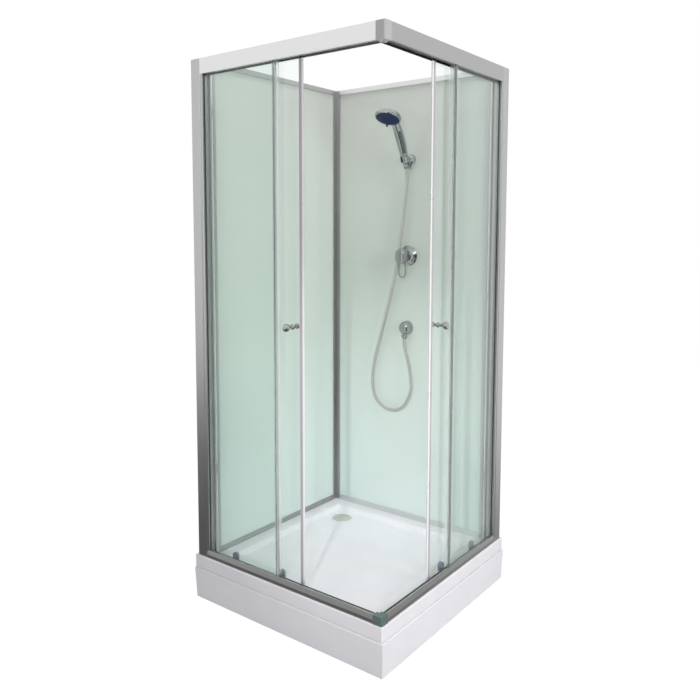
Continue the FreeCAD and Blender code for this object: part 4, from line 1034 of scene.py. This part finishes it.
print("nozzle faces:", len(nozzle_mesh.polygons))

# %% [markdown]
# ## Studio
# The floor and the world are white where they are looked at or mirrored, and a
# little weaker where they light the cabin, so pale surfaces keep their tone. Lamps
# stand overhead, by the camera and on the right, and a narrow beam from beside the
# camera brightens the foot of the right wall and throws the seals' shadows over the
# tray. In mirrors the floor fades from dark beside the cabin to white, so that low
# metal has something to show. A dark card and a bright one behind the camera do the
# same for the chrome.

# %% Floor
FLOOR_REACH = 30
LOOKED_AT = 0.85


def stage_plane(name, corners, material):
    """Flat stage face between corners, not a piece of the cabin."""
    mesh = bpy.data.meshes.new(name)
    mesh.from_pydata(corners, [], [tuple(range(len(corners)))])
    mesh.materials.append(material)
    card = bpy.data.objects.new(name, mesh)
    scene.collection.objects.link(card)
    return card


def seen_rays(tree):
    """1 for rays that look straight, in a mirror or through glass."""
    rays = tree.nodes.new("ShaderNodeLightPath").outputs
    seen = math_node(tree, "MAXIMUM", rays["Is Camera Ray"], rays["Is Glossy Ray"])
    return math_node(tree, "MAXIMUM", seen, rays["Is Transmission Ray"])


pale, shader = finish("pale_floor", (0.86, 0.86, 0.86), 0.9)
tree = pale.node_tree
shader.inputs["Specular IOR Level"].default_value = 0.0
glow = tree.nodes.new("ShaderNodeEmission")
glow.inputs["Strength"].default_value = 1.12
looked_at = math_node(tree, "MULTIPLY", seen_rays(tree), LOOKED_AT)
plain = mix_shaders(tree, looked_at, shader.outputs["BSDF"], glow.outputs["Emission"])
place = tree.nodes.new("ShaderNodeTexCoord")
reach = tree.nodes.new("ShaderNodeVectorMath")
reach.operation = "LENGTH"
shift = tree.nodes.new("ShaderNodeVectorMath")
shift.operation = "SUBTRACT"
shift.inputs[1].default_value = (-0.6, -1.6, 0.0)
tree.links.new(place.outputs["Object"], shift.inputs[0])
tree.links.new(shift.outputs["Vector"], reach.inputs[0])
fade = tree.nodes.new("ShaderNodeMapRange")
fade.interpolation_type = "SMOOTHSTEP"
fade.inputs["From Min"].default_value = 1.0
fade.inputs["From Max"].default_value = 5.5
fade.inputs["To Min"].default_value = 0.12
fade.inputs["To Max"].default_value = 1.0
tree.links.new(reach.outputs["Value"], fade.inputs["Value"])
mirrored = tree.nodes.new("ShaderNodeEmission")
tree.links.new(fade.outputs["Result"], mirrored.inputs["Strength"])
rays = tree.nodes.new("ShaderNodeLightPath").outputs
glossy = math_node(tree, "SUBTRACT", rays["Is Glossy Ray"], rays["Is Transmission Ray"])
glossy = math_node(tree, "MAXIMUM", glossy, 0.0)
show_surface(tree, mix_shaders(tree, glossy, plain, mirrored.outputs["Emission"]))
signs = ((-1, -1), (1, -1), (1, 1), (-1, 1))
stage_plane("floor", [(x * FLOOR_REACH, y * FLOOR_REACH, 0) for x, y in signs], pale)
print("floor ready")

# %% World
WORLD_LIGHT = 0.4
world = bpy.data.worlds.new("white_room")
scene.world = world
world.use_nodes = True
tree = world.node_tree
background = tree.nodes["Background"]
background.inputs["Color"].default_value = (1.0, 1.0, 1.0, 1.0)
extra = math_node(tree, "MULTIPLY", seen_rays(tree), 1.0 - WORLD_LIGHT)
strength = math_node(tree, "ADD", extra, WORLD_LIGHT)
tree.links.new(strength, background.inputs["Strength"])
print("world: white when seen,", WORLD_LIGHT, "as light")

# %% Lamps
def disc(name, size):
    """Light from a round face."""
    data = bpy.data.lights.new(name, "AREA")
    data.shape = "DISK"
    data.size = size
    return data


def cone(name, degrees, softness):
    """Light in a cone that fades towards its rim."""
    data = bpy.data.lights.new(name, "SPOT")
    data.spot_size = math.radians(degrees)
    data.spot_blend = 1.0
    data.shadow_soft_size = softness
    return data


def hang_lamp(data, power, place, aim):
    """Lamp at a place, turned to a point, that no mirror or pane shows."""
    data.energy = power
    lamp = bpy.data.objects.new(data.name, data)
    lamp.location = place
    lamp.rotation_euler = (Vector(aim) - Vector(place)).to_track_quat("-Z", "Y").to_euler()
    lamp.visible_transmission = False
    lamp.visible_glossy = False
    scene.collection.objects.link(lamp)
    return lamp


lamps = [
    hang_lamp(disc("overhead", 1.6), 54.0, (0.2, -0.2, 4.6), (0.0, 0.0, 0.0)),
    hang_lamp(disc("key", 0.12), 17.0, (1.75, -2.9, 1.75), (0.0, 0.0, 0.8)),
    hang_lamp(disc("fill", 1.6), 58.0, (3.6, -0.6, 1.8), (0.0, 0.0, 0.8)),
    hang_lamp(cone("beam", 25.0, 0.05), 190.0, (1.45, -3.15, 2.1), (0.05, 0.4, 0.42)),
]
print("lamps:", [lamp.name for lamp in lamps])

# %% Cards for mirrors
def card_finish(name, level):
    """Evenly bright or dark card that fades out towards its edges."""
    material = bpy.data.materials.new(name)
    material.use_nodes = True
    tree = material.node_tree
    tree.nodes.remove(tree.nodes["Principled BSDF"])
    axes = split_axes(tree, "UV")
    sides = []
    for axis in ("X", "Y"):
        offset = math_node(tree, "SUBTRACT", axes[axis], 0.5)
        sides.append(math_node(tree, "ABSOLUTE", offset, 0.0))
    fade = tree.nodes.new("ShaderNodeMapRange")
    fade.interpolation_type = "SMOOTHSTEP"
    fade.inputs["From Min"].default_value = 0.5
    fade.inputs["From Max"].default_value = 0.3
    tree.links.new(math_node(tree, "MAXIMUM", *sides), fade.inputs["Value"])
    glow = tree.nodes.new("ShaderNodeEmission")
    glow.inputs["Strength"].default_value = level
    clear = tree.nodes.new("ShaderNodeBsdfTransparent").outputs["BSDF"]
    card = mix_shaders(tree, fade.outputs["Result"], clear, glow.outputs["Emission"])
    show_surface(tree, card)
    return material


def upright_card(name, start, end, low, high, material):
    """Card that stands on a line between two plan points and is seen only in mirrors."""
    corners = [(*start, low), (*end, low), (*end, high), (*start, high)]
    card = stage_plane(name, corners, material)
    corner_map = card.data.uv_layers.new(name="card")
    for loop, place in zip(corner_map.data, ((0, 0), (1, 0), (1, 1), (0, 1))):
        loop.uv = place
    card.visible_camera = False
    card.visible_diffuse = False
    card.visible_shadow = False
    return card


dark = card_finish("dark_card", 0.06)
bright = card_finish("bright_card", 6.0)
cards = [
    upright_card("camera_card", (-0.4, -5.2), (3.6, -4.0), -0.4, 2.8, dark),
    upright_card("window_card", (0.6, -4.4), (1.6, -4.0), 1.9, 3.2, bright),
]
print("cards:", [card.name for card in cards])

# %% View settings
scene.view_settings.view_transform = "Standard"
